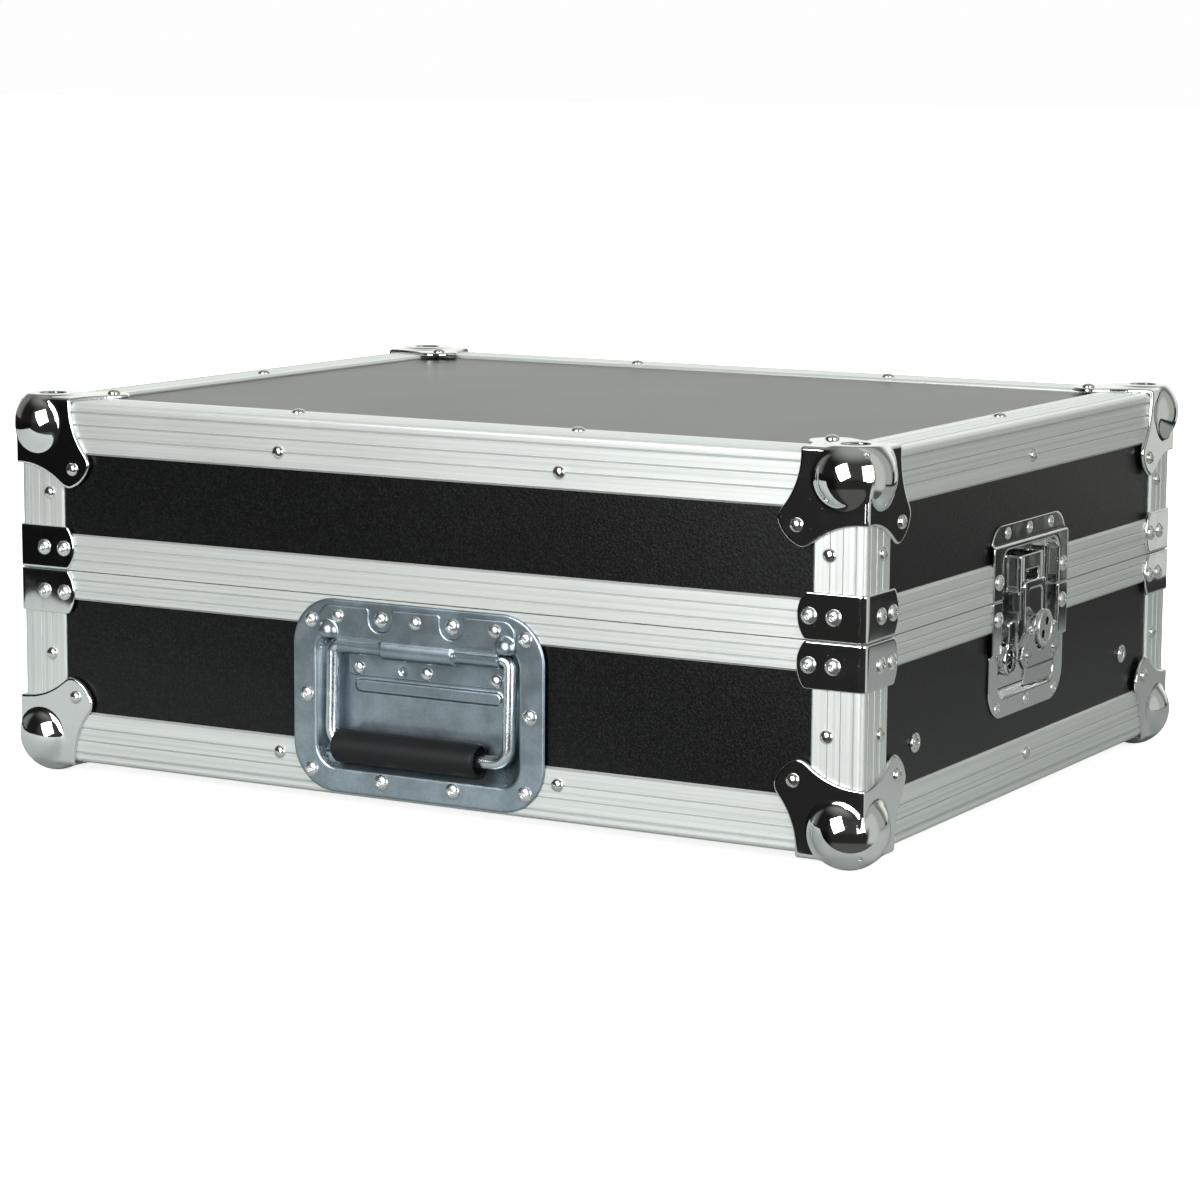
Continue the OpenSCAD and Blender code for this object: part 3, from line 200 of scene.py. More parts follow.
class Look(Tree):
    """A material, or the world, and the nodes it is made of"""

    def __init__(self, name, world=None):
        self.material = world or bpy.data.materials.new(name)
        self.material.use_nodes = True
        super().__init__(self.material.node_tree)
        self.out = self.node("ShaderNodeOutputWorld" if world else "ShaderNodeOutputMaterial")

    def maths(self, operation, *values):
        return Wire(self, self.node("ShaderNodeMath", {"operation": operation}, values).outputs[0])

    def split(self, vector):
        parts = self.node("ShaderNodeSeparateXYZ", values=(vector,)).outputs
        return [Wire(self, part) for part in parts]

    @functools.cached_property
    def where(self):
        """The piece's own coordinates in metres"""
        return self.node("ShaderNodeTexCoord").outputs["Object"]

    def vector(self, x, y, z):
        return self.node("ShaderNodeCombineXYZ", values=(x, y, z)).outputs[0]

    def noise(self, scale, detail=2.0, rough=0.5, where=None):
        made = self.node("ShaderNodeTexNoise", Vector=where or self.where, Scale=scale,
                         Detail=detail, Roughness=rough)
        return Wire(self, made.outputs[0])

    def mix(self, share, first, second):
        made = self.node("ShaderNodeMix", {"data_type": "RGBA"})
        for value, place in ((share, 0), (first, 6), (second, 7)):
            self.link(value, made.inputs[place])
        return made.outputs[2]

    def bump(self, height, distance, strength):
        made = self.node("ShaderNodeBump", Height=height, Distance=distance, Strength=strength)
        return made.outputs[0]

    def finish(self, **sockets):
        """The material, with its surface's sockets set"""
        named = {key.replace("_", " "): value for key, value in sockets.items()}
        surface = self.node("ShaderNodeBsdfPrincipled", **named)
        self.link(surface.outputs[0], self.out.inputs[0])
        return self.material


def laminate_look():
    look = Look("laminate")
    fleck = look.noise(1500.0, 3.0, 0.65)
    cloud = look.noise(9.0, 2.0)
    peel = look.noise(620.0, 2.0, 0.55)
    return look.finish(
        Base_Color=look.mix(fleck.ramp(0.5, 0.66), tone("laminate"), tone("laminate_fleck")),
        Roughness=0.25 + cloud * 0.04 + fleck * 0.05,
        Specular_IOR_Level=0.3,
        Normal=look.bump(peel, 0.00014, 0.7))


def profile_look(name, along, groove_shading, at_split):
    """Satin anodising with drawn lines and painted shade along its grooves; a line of painted shade
    is (distance from edge or split, reach, depth)
    """
    look = Look(name)
    x, y, z = look.split(look.where)
    edge_x = HALF_W * MM - abs(x)
    edge_y = HALF_D * MM - abs(y)
    edge_z = (z - FOOT * MM).low(TOP * MM - z)
    if at_split:
        across = abs(z - (SPLIT + SPLIT_GAP / 2) * MM)
    else:
        # The middle one of the three distances runs across a leg
        across = edge_x.low(edge_y).high(edge_x.high(edge_y).low(edge_z))
    run = {"x": x, "y": y, "z": z}[along]
    drawn = look.noise(1.0, 3.0, 0.6, where=look.vector(across * 900.0, run * 3.0, 0.0))
    fine = look.noise(1.0, 2.0, where=look.vector(across * 5200.0, run * 16.0, 1.7))
    band = look.noise(1.0, 2.0, where=look.vector(across * 260.0, run * 1.1, 4.2))
    smear = look.noise(14.0, 3.0)
    # Painted shade: the colour darkens towards a dark grey along each groove line
    dark = 0.0
    for mark, spread, depth in groove_shading:
        near = (1.0 - abs(across - mark * MM).ramp(spread * MM * 0.2, spread * MM)) * depth
        dark = near.high(dark)
    shade = look.mix(drawn.ramp(0.3, 0.72), tone("profile", 0.9), tone("profile", 1.06))
    shade = look.mix(band.ramp(0.35, 0.65) * 0.3, shade, tone("profile", 0.84))
    shade = look.mix(dark, shade, (0.26, 0.30, 0.30))
    return look.finish(
        Base_Color=shade,
        Metallic=0.62,
        Roughness=0.33 + band * 0.1 + smear * 0.06 + dark * 0.2,
        Normal=look.bump(drawn + fine * 0.35, 0.00006, 0.5))


def chrome_look(name, share, rough):
    look = Look(name)
    breath = look.noise(42.0, 4.0, 0.6)
    speck = look.noise(900.0, 1.0)
    wave = look.noise(55.0, 1.0)
    return look.finish(
        Base_Color=look.mix(breath.ramp(0.4, 0.75) * 0.2, tone("chrome", share),
                            tone("chrome", share * 0.86)),
        Metallic=1.0,
        Roughness=rough + breath.ramp(0.45, 0.8) * 0.05 + speck.ramp(0.72, 0.78) * 0.12,
        Normal=look.bump(wave, 0.0004, 0.12))


def zinc_look():
    look = Look("handle zinc")
    cloud = look.noise(70.0, 4.0, 0.62)
    grain = look.noise(780.0, 3.0, 0.7)
    shade = look.mix(cloud.ramp(0.32, 0.7), tone("zinc", 0.84), tone("zinc", 1.12))
    return look.finish(
        Base_Color=look.mix(grain.ramp(0.35, 0.75) * 0.4, shade, tone("zinc", 0.62)),
        Metallic=0.93,
        Roughness=0.21 + cloud * 0.1 + grain * 0.1,
        Normal=look.bump(grain, 0.00005, 0.5))


def rod_look():
    look = Look("bright rod")
    x, y, z = look.split(look.where)
    drawn = look.noise(1.0, 3.0, where=look.vector(x * 40.0, y * 700.0, z * 120.0))
    return look.finish(
        Base_Color=look.mix(drawn.ramp(0.3, 0.7), (0.62, 0.68, 0.72), (0.78, 0.83, 0.86)),
        Metallic=1.0,
        Roughness=0.2 + drawn * 0.12,
        Normal=look.bump(drawn, 0.00005, 0.4))


def rivet_look(name, colour, rough):
    look = Look(name)
    cloud = look.noise(520.0, 3.0, 0.6)
    return look.finish(
        Base_Color=look.mix(cloud.ramp(0.35, 0.7), tuple(c * 0.82 for c in colour), colour),
        Metallic=0.97,
        Roughness=rough + cloud * 0.1,
        Normal=look.bump(cloud, 0.00004, 0.4))


def boss_look():
    """The latch's turned boss, with painted shade filling its two spanner holes"""
    look = Look("latch boss")
    x, y, z = look.split(look.where)
    along = y * look.maths("SIGN", x)
    up = z - (FOOT + BASE_H + SPINDLE) * MM
    cloud = look.noise(520.0, 3.0, 0.6)
    a = math.radians(EYE_TURN)
    # Painted shade: the two spanner holes are coloured near black
    hole = 0.0
    for s in (-EYE_OUT, EYE_OUT):
        reach = ((along - s * math.cos(a) * MM) ** 2.0 + (up - s * math.sin(a) * MM) ** 2.0) ** 0.5
        hole = 1.0 - reach.ramp(EYE_R * MM, (EYE_R + 0.2) * MM) + hole
    shade = look.mix(cloud.ramp(0.35, 0.7), (0.66, 0.68, 0.675), (0.8, 0.82, 0.815))
    return look.finish(
        Base_Color=look.mix(hole * 0.96, shade, (0.01, 0.01, 0.01)),
        Metallic=0.97,
        Roughness=0.24 + cloud * 0.1)


def grip_look():
    look = Look("grip moulding")
    x = look.split(look.where)[0]
    grain = look.noise(1500.0, 2.0)
    run = look.noise(1.0, 2.0, where=look.vector(x * 12.0, 0.0, 0.0))
    return look.finish(
        Base_Color=look.mix(run.ramp(0.3, 0.7), tone("grip"), tone("grip", 1.5)),
        Roughness=0.44 + grain * 0.12,
        Specular_IOR_Level=0.24,
        Normal=look.bump(grain, 0.00006, 0.5))


def rail_look():
    look = Look("rail powder coat")
    orange = look.noise(420.0, 2.0)
    return look.finish(
        Base_Color=look.mix(orange.ramp(0.3, 0.7), (0.012, 0.012, 0.013), (0.022, 0.022, 0.024)),
        Roughness=0.42 + orange * 0.12,
        Normal=look.bump(orange, 0.0001, 0.6))


def foam_look():
    look = Look("foam")
    cells = Wire(look, look.node("ShaderNodeTexVoronoi", Vector=look.where, Scale=900.0).outputs[0])
    return look.finish(
        Base_Color=look.mix(cells.ramp(0.1, 0.7), (0.012, 0.012, 0.014), (0.055, 0.055, 0.06)),
        Roughness=0.95,
        Normal=look.bump(cells, 0.0004, 0.8))


@functools.cache
def finish(name):
    """The finish of that name, made on first use"""
    makers = {
        "laminate": laminate_look,
        "zinc": zinc_look,
        "rod": rod_look,
        "grip": grip_look,
        "rail": rail_look,
        "foam": foam_look,
        "boss": boss_look,
        "spring": lambda: rivet_look("spring steel", (0.42, 0.42, 0.44), 0.3),
        "corner": lambda: chrome_look("corner chrome", 1.0, 0.045),
        "latch": lambda: chrome_look("latch chrome", 0.93, 0.07),
        "wing": lambda: chrome_look("latch wing", 0.72, 0.11),
        "dome": lambda: rivet_look("domed rivet", (0.78, 0.78, 0.77), 0.1),
        "pop": lambda: rivet_look("pop rivet", (0.82, 0.84, 0.84), 0.22),
    }
    return makers[name]()


# Meshes and placing

def show(thing):
    bpy.context.scene.collection.objects.link(thing)
    return thing


def plain(name, verts, faces, smooth=True):
    """A mesh object that isn't in the scene yet"""
    mesh = bpy.data.meshes.new(name)
    mesh.from_pydata(np.asarray(verts, float).tolist(), [], [list(f) for f in faces])
    mesh.validate()
    mesh.polygons.foreach_set("use_smooth", [smooth] * len(mesh.polygons))
    mesh.update()
    return bpy.data.objects.new(name, mesh)


def dress(piece, body, node):
    """Rides the piece on its body, and lets it stand for a CAD node"""
    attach(piece, body)
    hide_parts(node)
    return piece


def keep_piece(name, verts, faces, look, body, slot, node):
    """A finished piece from points in metres"""
    piece = plain(name, verts, faces)
    piece.data.materials.append(finish(look))
    return dress(show(piece), body, node)


def recolour(node, look):
    """A CAD node keeps its shape and takes this finish"""
    for place in NODES[node].material_slots:
        place.material = look


# Each face of the case: a point on it, then the ways of u along it, v up it and o out of it
FACES = {
    "front": ((0, -HALF_D, FOOT), (1, 0, 0), (0, 0, 1), (0, -1, 0)),
    "back": ((0, HALF_D, FOOT), (-1, 0, 0), (0, 0, 1), (0, 1, 0)),
    "right": ((HALF_W, 0, FOOT), (0, 1, 0), (0, 0, 1), (1, 0, 0)),
    "left": ((-HALF_W, 0, FOOT), (0, -1, 0), (0, 0, 1), (-1, 0, 0)),
    "top": ((0, 0, TOP), (1, 0, 0), (0, 1, 0), (0, 0, 1)),
    "bottom": ((0, 0, FOOT), (1, 0, 0), (0, -1, 0), (0, 0, -1)),
}


def on_face(face, u, v, o):
    """Points in metres from places on a face in millimetres"""
    start, *ways = np.array(FACES[face], float)
    return (start + sum(np.multiply.outer(c, way) for c, way in zip((u, v, o), ways))) * MM


def at_corners(points, faces, z, over=False):
    """A corner's shape mirrored to all four, with the name of each; over says it is upside down"""
    for sx, side in ((-1, "left"), (1, "right")):
        for sy, end in ((-1, "front"), (1, "back")):
            verts = np.stack([sx * (HALF_W - points[:, 0]), sy * (HALF_D - points[:, 1]), z], -1)
            odd = (sx > 0) ^ (sy > 0) ^ over
            yield f"{end}_{side}", verts * MM, faces[:, ::-1] if odd else faces


# Solid fields: negative inside, millimetres

def blend_low(a, b, k):
    h = np.maximum(k - np.abs(a - b), 0.0) / k
    return np.minimum(a, b) - h * h * k / 4


def blend_high(a, b, k):
    return -blend_low(-a, -b, k)


def slab(t, low, high):
    return np.abs(t - (low + high) / 2) - (high - low) / 2


def between(field, t, low, high, k):
    """A field cut off at two planes"""
    return blend_high(field, slab(t, low, high), k)


def past_edge(a, b, r):
    """Distance past two sides that meet in an edge of that radius"""
    return np.minimum(np.maximum(a, b), 0) + np.hypot(np.maximum(a, 0), np.maximum(b, 0)) - r


def past_corner(a, b, c, r):
    """Distance past three sides that meet in a corner of that radius"""
    out = np.maximum(a, 0) ** 2 + np.maximum(b, 0) ** 2 + np.maximum(c, 0) ** 2
    return np.minimum(np.maximum(np.maximum(a, b), c), 0) + np.sqrt(out) - r


def disc(u, v, at, r):
    return np.hypot(u - at[0], v - at[1]) - r


def rounded(u, v, low, high, r):
    """A rounded rectangle between its corners"""
    qx = np.abs(u - (low[0] + high[0]) / 2) - (high[0] - low[0]) / 2 + r
    qy = np.abs(v - (low[1] + high[1]) / 2) - (high[1] - low[1]) / 2 + r
    return past_edge(qx, qy, r)


def outline(u, v, points):
    """Distance to a closed polygon"""
    best = 1e9
    side = 1.0
    for (ax, ay), (bx, by) in zip(points, points[1:] + points[:1]):
        ex, ey = bx - ax, by - ay
        wx, wy = u - ax, v - ay
        t = np.clip((wx * ex + wy * ey) / (ex * ex + ey * ey), 0, 1)
        best = np.minimum(best, (wx - ex * t) ** 2 + (wy - ey * t) ** 2)
        above, below, left = v >= ay, v < by, ex * wy > ey * wx
        crossed = (above & below & left) | (~above & ~below & ~left)
        side = np.where(crossed, -side, side)
    return side * np.sqrt(best)


def skin(field, low, high, step):
    """Points and faces of the surface where the field is nought, in millimetres"""
    axes = [np.arange(a, b + step, step) for a, b in zip(low, high)]
    grid = [len(a) for a in axes]
    value = np.broadcast_to(field(*np.ix_(*axes)), grid).astype(float)
    inside = value < 0
    corners = [(i, j, k) for i in (0, 1) for j in (0, 1) for k in (0, 1)]
    count = sum(inside[i:grid[0] - 1 + i, j:grid[1] - 1 + j, k:grid[2] - 1 + k].astype(np.int8)
                for i, j, k in corners)
    mixed = (count > 0) & (count < 8)
    cells = np.argwhere(mixed)
    index = np.full(mixed.shape, -1)
    index[mixed] = np.arange(len(cells))
    total = np.zeros((len(cells), 3))
    hits = np.zeros(len(cells))
    for start in corners:
        for axis in range(3):
            if start[axis]:
                continue
            end = tuple(s + (n == axis) for n, s in enumerate(start))
            here, there = cells + start, cells + end
            a, b = value[tuple(here.T)], value[tuple(there.T)]
            cross = (a < 0) != (b < 0)
            share = np.where(cross, a / np.where(cross, a - b, 1.0), 0.0)
            total[cross] += (here + share[:, None] * (there - here))[cross]
            hits[cross] += 1
    points = np.array(low) + step * total / hits[:, None]
    reach = step * 0.2
    for _ in range(3):
        x, y, z = points.T
        now = field(x, y, z)
        slope = np.stack([field(x + reach, y, z) - field(x - reach, y, z),
                          field(x, y + reach, z) - field(x, y - reach, z),
                          field(x, y, z + reach) - field(x, y, z - reach)], -1) / (2 * reach)
        steep = np.maximum((slope * slope).sum(-1), 0.1)
        points = points - slope * np.clip(now / steep, -step, step)[:, None]
    faces = []
    for axis in range(3):
        one, two = (axis + 1) % 3, (axis + 2) % 3
        start = [slice(None)] * 3
        end = [slice(None)] * 3
        start[axis], end[axis] = slice(0, -1), slice(1, None)
        starts, ends = inside[tuple(start)], inside[tuple(end)]
        at = np.argwhere(starts != ends)
        at = at[(at[:, one] > 0) & (at[:, two] > 0)]
        at = at[(at[:, one] < grid[one] - 1) & (at[:, two] < grid[two] - 1)]
        out = starts[tuple(at.T)]
        ring = []
        for d_one, d_two in ((-1, -1), (0, -1), (0, 0), (-1, 0)):
            cell = at.copy()
            cell[:, one] += d_one
            cell[:, two] += d_two
            ring.append(index[tuple(cell.T)])
        quads = np.stack(ring, -1)
        quads[~out] = quads[~out][:, ::-1]
        faces.append(quads)
    return points, np.concatenate(faces)


def lathe(line, steps, ring=False):
    """Points and faces turned about Z from (radius, height) pairs; a ring's line meets itself"""
    verts, faces, rows = [], [], []
    for r, h in line:
        rows.append(range(len(verts), len(verts) + (steps if r else 1)))
        for s in range(len(rows[-1])):
            a = 2 * math.pi * s / steps
            verts.append((r * math.cos(a), r * math.sin(a), h))
    for lower, upper in zip(rows, rows[1:] + rows[:ring]):
        for s in range(steps):
            t = (s + 1) % steps
            corners = (lower[s % len(lower)], lower[t % len(lower)],
                       upper[t % len(upper)], upper[s % len(upper)])
            # At a pole two of the four are the same point
            faces.append(tuple(dict.fromkeys(corners)))
    return verts, faces


def turned(name, line, steps, middle, tilt, axis, *rest, ring=False):
    """A lathe piece from a line in millimetres, tilted about an axis and set at its middle"""
    verts, faces = lathe([(r * MM, h * MM) for r, h in line], steps, ring)
    turn = Matrix.Translation(Vector(middle)) @ Matrix.Rotation(tilt, 4, axis)
    return keep_piece(name, [turn @ Vector(v) for v in verts], faces, *rest)


def arc(at, r, start, end, steps):
    """Points of an arc in (across, up), degrees"""
    return [(at[0] + r * math.cos(math.radians(start + (end - start) * i / steps)),
             at[1] + r * math.sin(math.radians(start + (end - start) * i / steps)))
            for i in range(steps + 1)]


def swept(path, r, steps, closed):
    """A round bar along a path of points; gives points and faces"""
    path = [Vector(p) for p in path]
    count = len(path)
    verts, faces = [], []
    side = None
    for i, p in enumerate(path):
        before = path[i - 1] if closed or i else p
        after = path[(i + 1) % count] if closed or i < count - 1 else p
        ahead = (after - before).normalized()
        if side is None:
            side = ahead.orthogonal().normalized()
        side = (side - ahead * side.dot(ahead)).normalized()
        up = ahead.cross(side)
        for s in range(steps):
            a = 2 * math.pi * s / steps
            verts.append(p + side * (r * math.cos(a)) + up * (r * math.sin(a)))
    for i in range(count if closed else count - 1):
        j = (i + 1) % count
        # On a closed path the last ring may be turned against the first
        turn = 0
        if closed and j == 0:
            turn = min(range(steps), key=lambda k: (verts[i * steps] - verts[k]).length)
        for s in range(steps):
            t = (s + 1) % steps
            a, b = j * steps + (s + turn) % steps, j * steps + (t + turn) % steps
            faces.append((i * steps + s, i * steps + t, b, a))
    if not closed:
        faces.append(tuple(range(steps - 1, -1, -1)))
        faces.append(tuple((count - 1) * steps + s for s in range(steps)))
    return verts, faces


# Rivets and screws, placed by one node tree

def head(name, line, steps=28, smooth=True):
    """A fastener head of unit radius and height, turned about Z"""
    return plain(name, *lathe(line, steps), smooth)


def dome_line():
    """A plain dome with a small lip at its foot and a foot sunk in its seat"""
    cap = [(math.cos(math.radians(a)), 0.06 + 0.94 * math.sin(math.radians(a)))
           for a in range(0, 90, 9)]
    return [(0.0, -0.25), (0.94, -0.25), (1.0, 0.0)] + cap + [(0.0, 1.0)]


def pop_line():
    """A pop rivet head: rounded flange, dished eye and the broken mandrel in it"""
    return [(0.0, -0.25), (0.93, -0.25), (0.99, 0.0), (1.0, 0.12), (0.98, 0.28), (0.92, 0.42),
            (0.82, 0.6), (0.68, 0.8), (0.55, 0.92), (0.44, 0.99), (0.38, 1.0), (0.33, 0.97),
            (0.3, 0.88), (0.285, 0.5), (0.27, 0.1), (0.12, 0.12), (0.0, 0.22)]


def cup_line():
    """A cup washer: rolled rim, falling cone inside"""
    return [(0.0, -0.2), (0.96, -0.2), (1.0, 0.1), (0.985, 0.45), (0.93, 0.75), (0.84, 0.95),
            (0.76, 1.0), (0.7, 0.95), (0.64, 0.8), (0.6, 0.62), (0.0, 0.6)]


def nut_line():
    return [(0.0, 0.0), (0.92, 0.0), (1.0, 0.1), (1.0, 0.9), (0.92, 1.0), (0.62, 1.0), (0.6, 0.92),
            (0.58, 0.7), (0.0, 0.7)]


def slotted_head():
    """A low screw head with a straight slot, of unit radius and height"""
    def field(x, y, z):
        ball = 1.9
        cap = np.sqrt(x * x + y * y + (z + ball - 1.0) ** 2) - ball
        body = blend_high(np.maximum(np.hypot(x, y) - 1.0, -z - 0.6), cap, 0.25)
        slot = np.maximum(np.abs(y) - 0.16, 0.45 - z)
        return blend_high(body, -slot, 0.08)

    return plain("slotted head", *skin(field, (-1.2, -1.2, -0.8), (1.2, 1.2, 1.2), 0.06))


@functools.cache
def fastener_tree():
    """Node tree: one head on each point, facing as the point says, turned at random"""
    made = Tree(bpy.data.node_groups.new("Seated fasteners", "GeometryNodeTree"))
    sockets = {"Geometry": "Geometry", "Head": "Object", "Radius": "Float", "Height": "Float",
               "Finish": "Material"}
    for name, kind in sockets.items():
        made.tree.interface.new_socket(name, in_out="INPUT", socket_type=f"NodeSocket{kind}")
    made.tree.interface.new_socket("Geometry", in_out="OUTPUT", socket_type="NodeSocketGeometry")

    def node(kind, settings=None, **links):
        return made.node(kind, settings, **links).outputs

    given = node("NodeGroupInput")
    shaped = node("GeometryNodeObjectInfo", Object=given["Head"])["Geometry"]
    size = node("ShaderNodeCombineXYZ", X=given["Radius"], Y=given["Radius"], Z=given["Height"])
    sized = node("GeometryNodeTransform", Geometry=shaped, Scale=size[0])
    facing = node("GeometryNodeInputNamedAttribute", {"data_type": "FLOAT_VECTOR"}, Name="facing")
    aimed = node("FunctionNodeAlignRotationToVector", {"axis": "Z"}, Vector=facing["Attribute"])
    chance = made.node("FunctionNodeRandomValue", {"data_type": "FLOAT"})
    for socket in chance.inputs:
        if socket.enabled and socket.name in ("Max", "Seed"):
            socket.default_value = 2 * math.pi if socket.name == "Max" else 7
    spin = next(s for s in chance.outputs if s.enabled)
    euler = node("FunctionNodeEulerToRotation", Euler=node("ShaderNodeCombineXYZ", Z=spin)[0])
    spun = made.node("FunctionNodeRotateRotation", {"rotation_space": "LOCAL"},
                     (aimed[0], euler[0])).outputs
    seated = node("GeometryNodeInstanceOnPoints", Points=given["Geometry"], Instance=sized[0],
                  Rotation=spun[0])
    real = node("GeometryNodeRealizeInstances", Geometry=seated[0])
    painted = node("GeometryNodeSetMaterial", Geometry=real[0], Material=given["Finish"])
    made.node("NodeGroupOutput", values=(painted[0],))
    return made.tree


def seat_fasteners(name, seats, shaped, radius, height, look):
    """Heads on seats of (point in metres, facing), as one plain mesh object"""
    tree = fastener_tree()
    holder = show(plain(name + " seats", [p for p, _ in seats], []))
    facing = holder.data.attributes.new("facing", "FLOAT_VECTOR", "POINT")
    facing.data.foreach_set("vector", [float(c) for _, way in seats for c in way])
    layer = holder.modifiers.new("Seated fasteners", "NODES")
    layer.node_group = tree
    given = {"Head": shaped, "Radius": radius * MM, "Height": height * MM, "Finish": finish(look)}
    for item in tree.interface.items_tree:
        if item.item_type == "SOCKET" and item.in_out == "INPUT" and item.name in given:
            layer[item.identifier] = given[item.name]
    bpy.context.view_layer.update()
    graph = bpy.context.evaluated_depsgraph_get()
    done = bpy.data.meshes.new_from_object(holder.evaluated_get(graph))
    done.name = name
    bpy.data.objects.remove(holder)
    return show(bpy.data.objects.new(name, done))


def join(name, parts):
    """Several plain mesh objects as one, in place"""
    bm = bmesh.new()
    looks = []
    for part in parts:
        start = len(bm.faces)
        bm.from_mesh(part.data)
        bm.faces.ensure_lookup_table()
        for face in bm.faces[start:]:
            look = part.data.materials[face.material_index]
            if look not in looks:
                looks.append(look)
            face.material_index = looks.index(look)
    mesh = bpy.data.meshes.new(name)
    bm.to_mesh(mesh)
    bm.free()
    for look in looks:
        mesh.materials.append(look)
    for part in parts:
        bpy.data.objects.remove(part)
    return show(bpy.data.objects.new(name, mesh))


def seats_on(face, places):
    return [(on_face(face, *place), FACES[face][3]) for place in places]


def both(u, v, o):
    return [(u, v, o), (-u, v, o)]


def wall_domes(half, along, edge, ear, middle):
    return (both(half - EAR, ear, LEAF_T) + both(half - RIVET_LINE, middle, 0.0)
            + [(u, edge, 0.0) for u in along])


def brace_pops(half, up):
    return both(half - 17, up, BRACE_T) + both(half - 31, up, BRACE_T)


def plan_domes():
    signs = [(s, k) for s in (-1, 1) for k in (-1, 1)]
    return ([(s * (HALF_W - EAR), k * (HALF_D - EAR), LEAF_T) for s, k in signs]
            + [(s * THIRD, k * (HALF_D - RIVET_LINE), 0.0) for s, k in signs]
            + both(HALF_W - RIVET_LINE, 0.0, 0.0))


HANDLE_POPS = [(HANDLE_X + u, HANDLE_LOW + v, PLATE_T) for u, v in (
    (69, 96), (-69, 96), (23, 99.4), (-23, 99.4), (72, 53.9), (-72, 53.9),
    (69, 11.6), (-69, 11.6), (23, 8.3), (-23, 8.3))]
LOW_POP = (3.5, 1.1)
LOW_POP_OUT = LATCH_T - 2.0

# For base and lid: the face with the plan's rivets, then heights of the wall's domes and the
# braces' pops, then places of the latch's full pops and of the low ones on its step
RIVETED = {
    "base": ("bottom", (RIVET_LINE, EAR, (LEG + BASE_H - BASE_RIM) / 2), BASE_H - BRACE_H / 2,
             both(46, BASE_H - 9.7, LATCH_T),
             [(u, BASE_H - 60.6, LOW_POP_OUT) for u in (41, 0, -41)]),
    "lid": ("top", (CASE_H - RIVET_LINE, CASE_H - EAR, (BASE_H + LID_RIM + CASE_H - LEG) / 2),
            BASE_H + SPLIT_GAP + BRACE_H / 2,
            both(46, BASE_H + 11.2, LATCH_T),
            [(u, BASE_H + 36.9, LOW_POP_OUT) for u in (31, 0, -31)]),
}


# Ball corners

FOLD = 1.6
LEAF_EDGE = 37.0
LEAF_MIDDLE = 30.8
LEAF_R = 19.9
HOLLOW_R = 45.0
FLAT_OUT = 3.4
RECESS_R = 8.2
RECESS_OUT = 1.9


def leaf_field():
    """Distance to the outline of a leaf: two hollow sides and a round end"""
    def field(a, b):
        far, near = np.maximum(a, b), np.maximum(np.minimum(a, b), 0)
        side = HOLLOW_R - np.hypot(far - LEAF_EDGE - HOLLOW_R, near - 0.9)
        end = np.hypot(a - LEAF_MIDDLE, b - LEAF_MIDDLE) - LEAF_R
        return blend_high(side, np.where(a + b > 2 * LEAF_MIDDLE, end, -LEAF_R), 4.0)
    return field


def corner_field(flat):
    """A ball corner over its three leaves, its ball flattened and recessed where asked"""
    shaped = leaf_field()
    ball_r, ball_in, fillet = shape().ball_radius, shape().ball_inset, shape().ball_fillet

    def field(x, y, z):
        case = past_corner(FOLD - x, FOLD - y, FOLD - z, FOLD)
        leaf = 1e9
        for a, b, c in ((x, y, z), (y, z, x), (z, x, y)):
            leaf = np.minimum(leaf, np.maximum(shaped(a, b), c - 0.1))
        plate = blend_high(past_corner(-x, -y, -z, 0.0) - LEAF_T, leaf, 1.3)
        # The folds end at the ball instead of standing proud of it at the very corner
        plate = blend_high(plate, ball_in - np.maximum(np.maximum(x, y), z), 3.0)
        ball = np.sqrt((x - ball_in) ** 2 + (y - ball_in) ** 2 + (z - ball_in) ** 2) - ball_r
        body = blend_low(plate, ball, fillet)
        if flat:
            body = blend_high(body, -z - FLAT_OUT, 0.7)
            pocket = blend_high(np.hypot(x - ball_in, y - ball_in) - RECESS_R, z + RECESS_OUT, 1.0)
            body = blend_high(body, -pocket, 0.7)
        return np.maximum(body, -case)
    return field


class CASE_OT_corners(bpy.types.Operator):
    """Chromed ball corners with three leaves each"""
    bl_idname = "rack_case.corners"
    bl_label = "Ball corners"

    def execute(self, context):
        reach = LEAF_MIDDLE + LEAF_R + 1.5
        for part, flat in (("base", False), ("lid", True)):
            points, faces = skin(corner_field(flat), (-10.5,) * 3, (reach,) * 3, 0.6)
            z = TOP - points[:, 2] if flat else FOOT + points[:, 2]
            for where, verts, quads in at_corners(points, faces, z, flat):
                keep_piece(f"{part}_{where}_ball_corner", verts, quads, "corner", part,
                           "corner_chrome", f"{part}_corner_{where}")
        return {"FINISHED"}


class CASE_OT_braces(bpy.types.Operator):
    """Chromed braces wrapped round the four vertical edges, under and over the split"""
    bl_idname = "rack_case.braces"
    bl_label = "Braces"

    def execute(self, context):
        bow, width = 4.5, 33.7
        bow_r = (BRACE_H ** 2 / 4 + bow ** 2) / (2 * bow)
        fold = 2.6

        def field(x, y, z):
            case = past_edge(fold - x, fold - y, fold)
            along = np.maximum(x, y)
            bowed = np.hypot(np.maximum(along - (width + bow - bow_r), 0), z - BRACE_H / 2) - bow_r
            edge = between(bowed, z, 0.0, BRACE_H, 1.0)
            return np.maximum(blend_high(case - BRACE_T, edge, 1.0), -case)

        reach = width + bow + 1.2
        points, faces = skin(field, (-2.6, -2.6, -1.2), (reach, reach, BRACE_H + 1.2), 0.5)
        for part, low in (("base", SPLIT - BRACE_H), ("lid", SPLIT + SPLIT_GAP)):
            _, verts, quads = zip(*at_corners(points, faces, points[:, 2] + low))
            quads = [ring + n * len(points) for n, ring in enumerate(quads)]
            keep_piece(f"{part}_wrapped_braces", np.concatenate(verts), np.concatenate(quads),
                       "corner", part, "corner_chrome", f"{part}_braces")
        return {"FINISHED"}


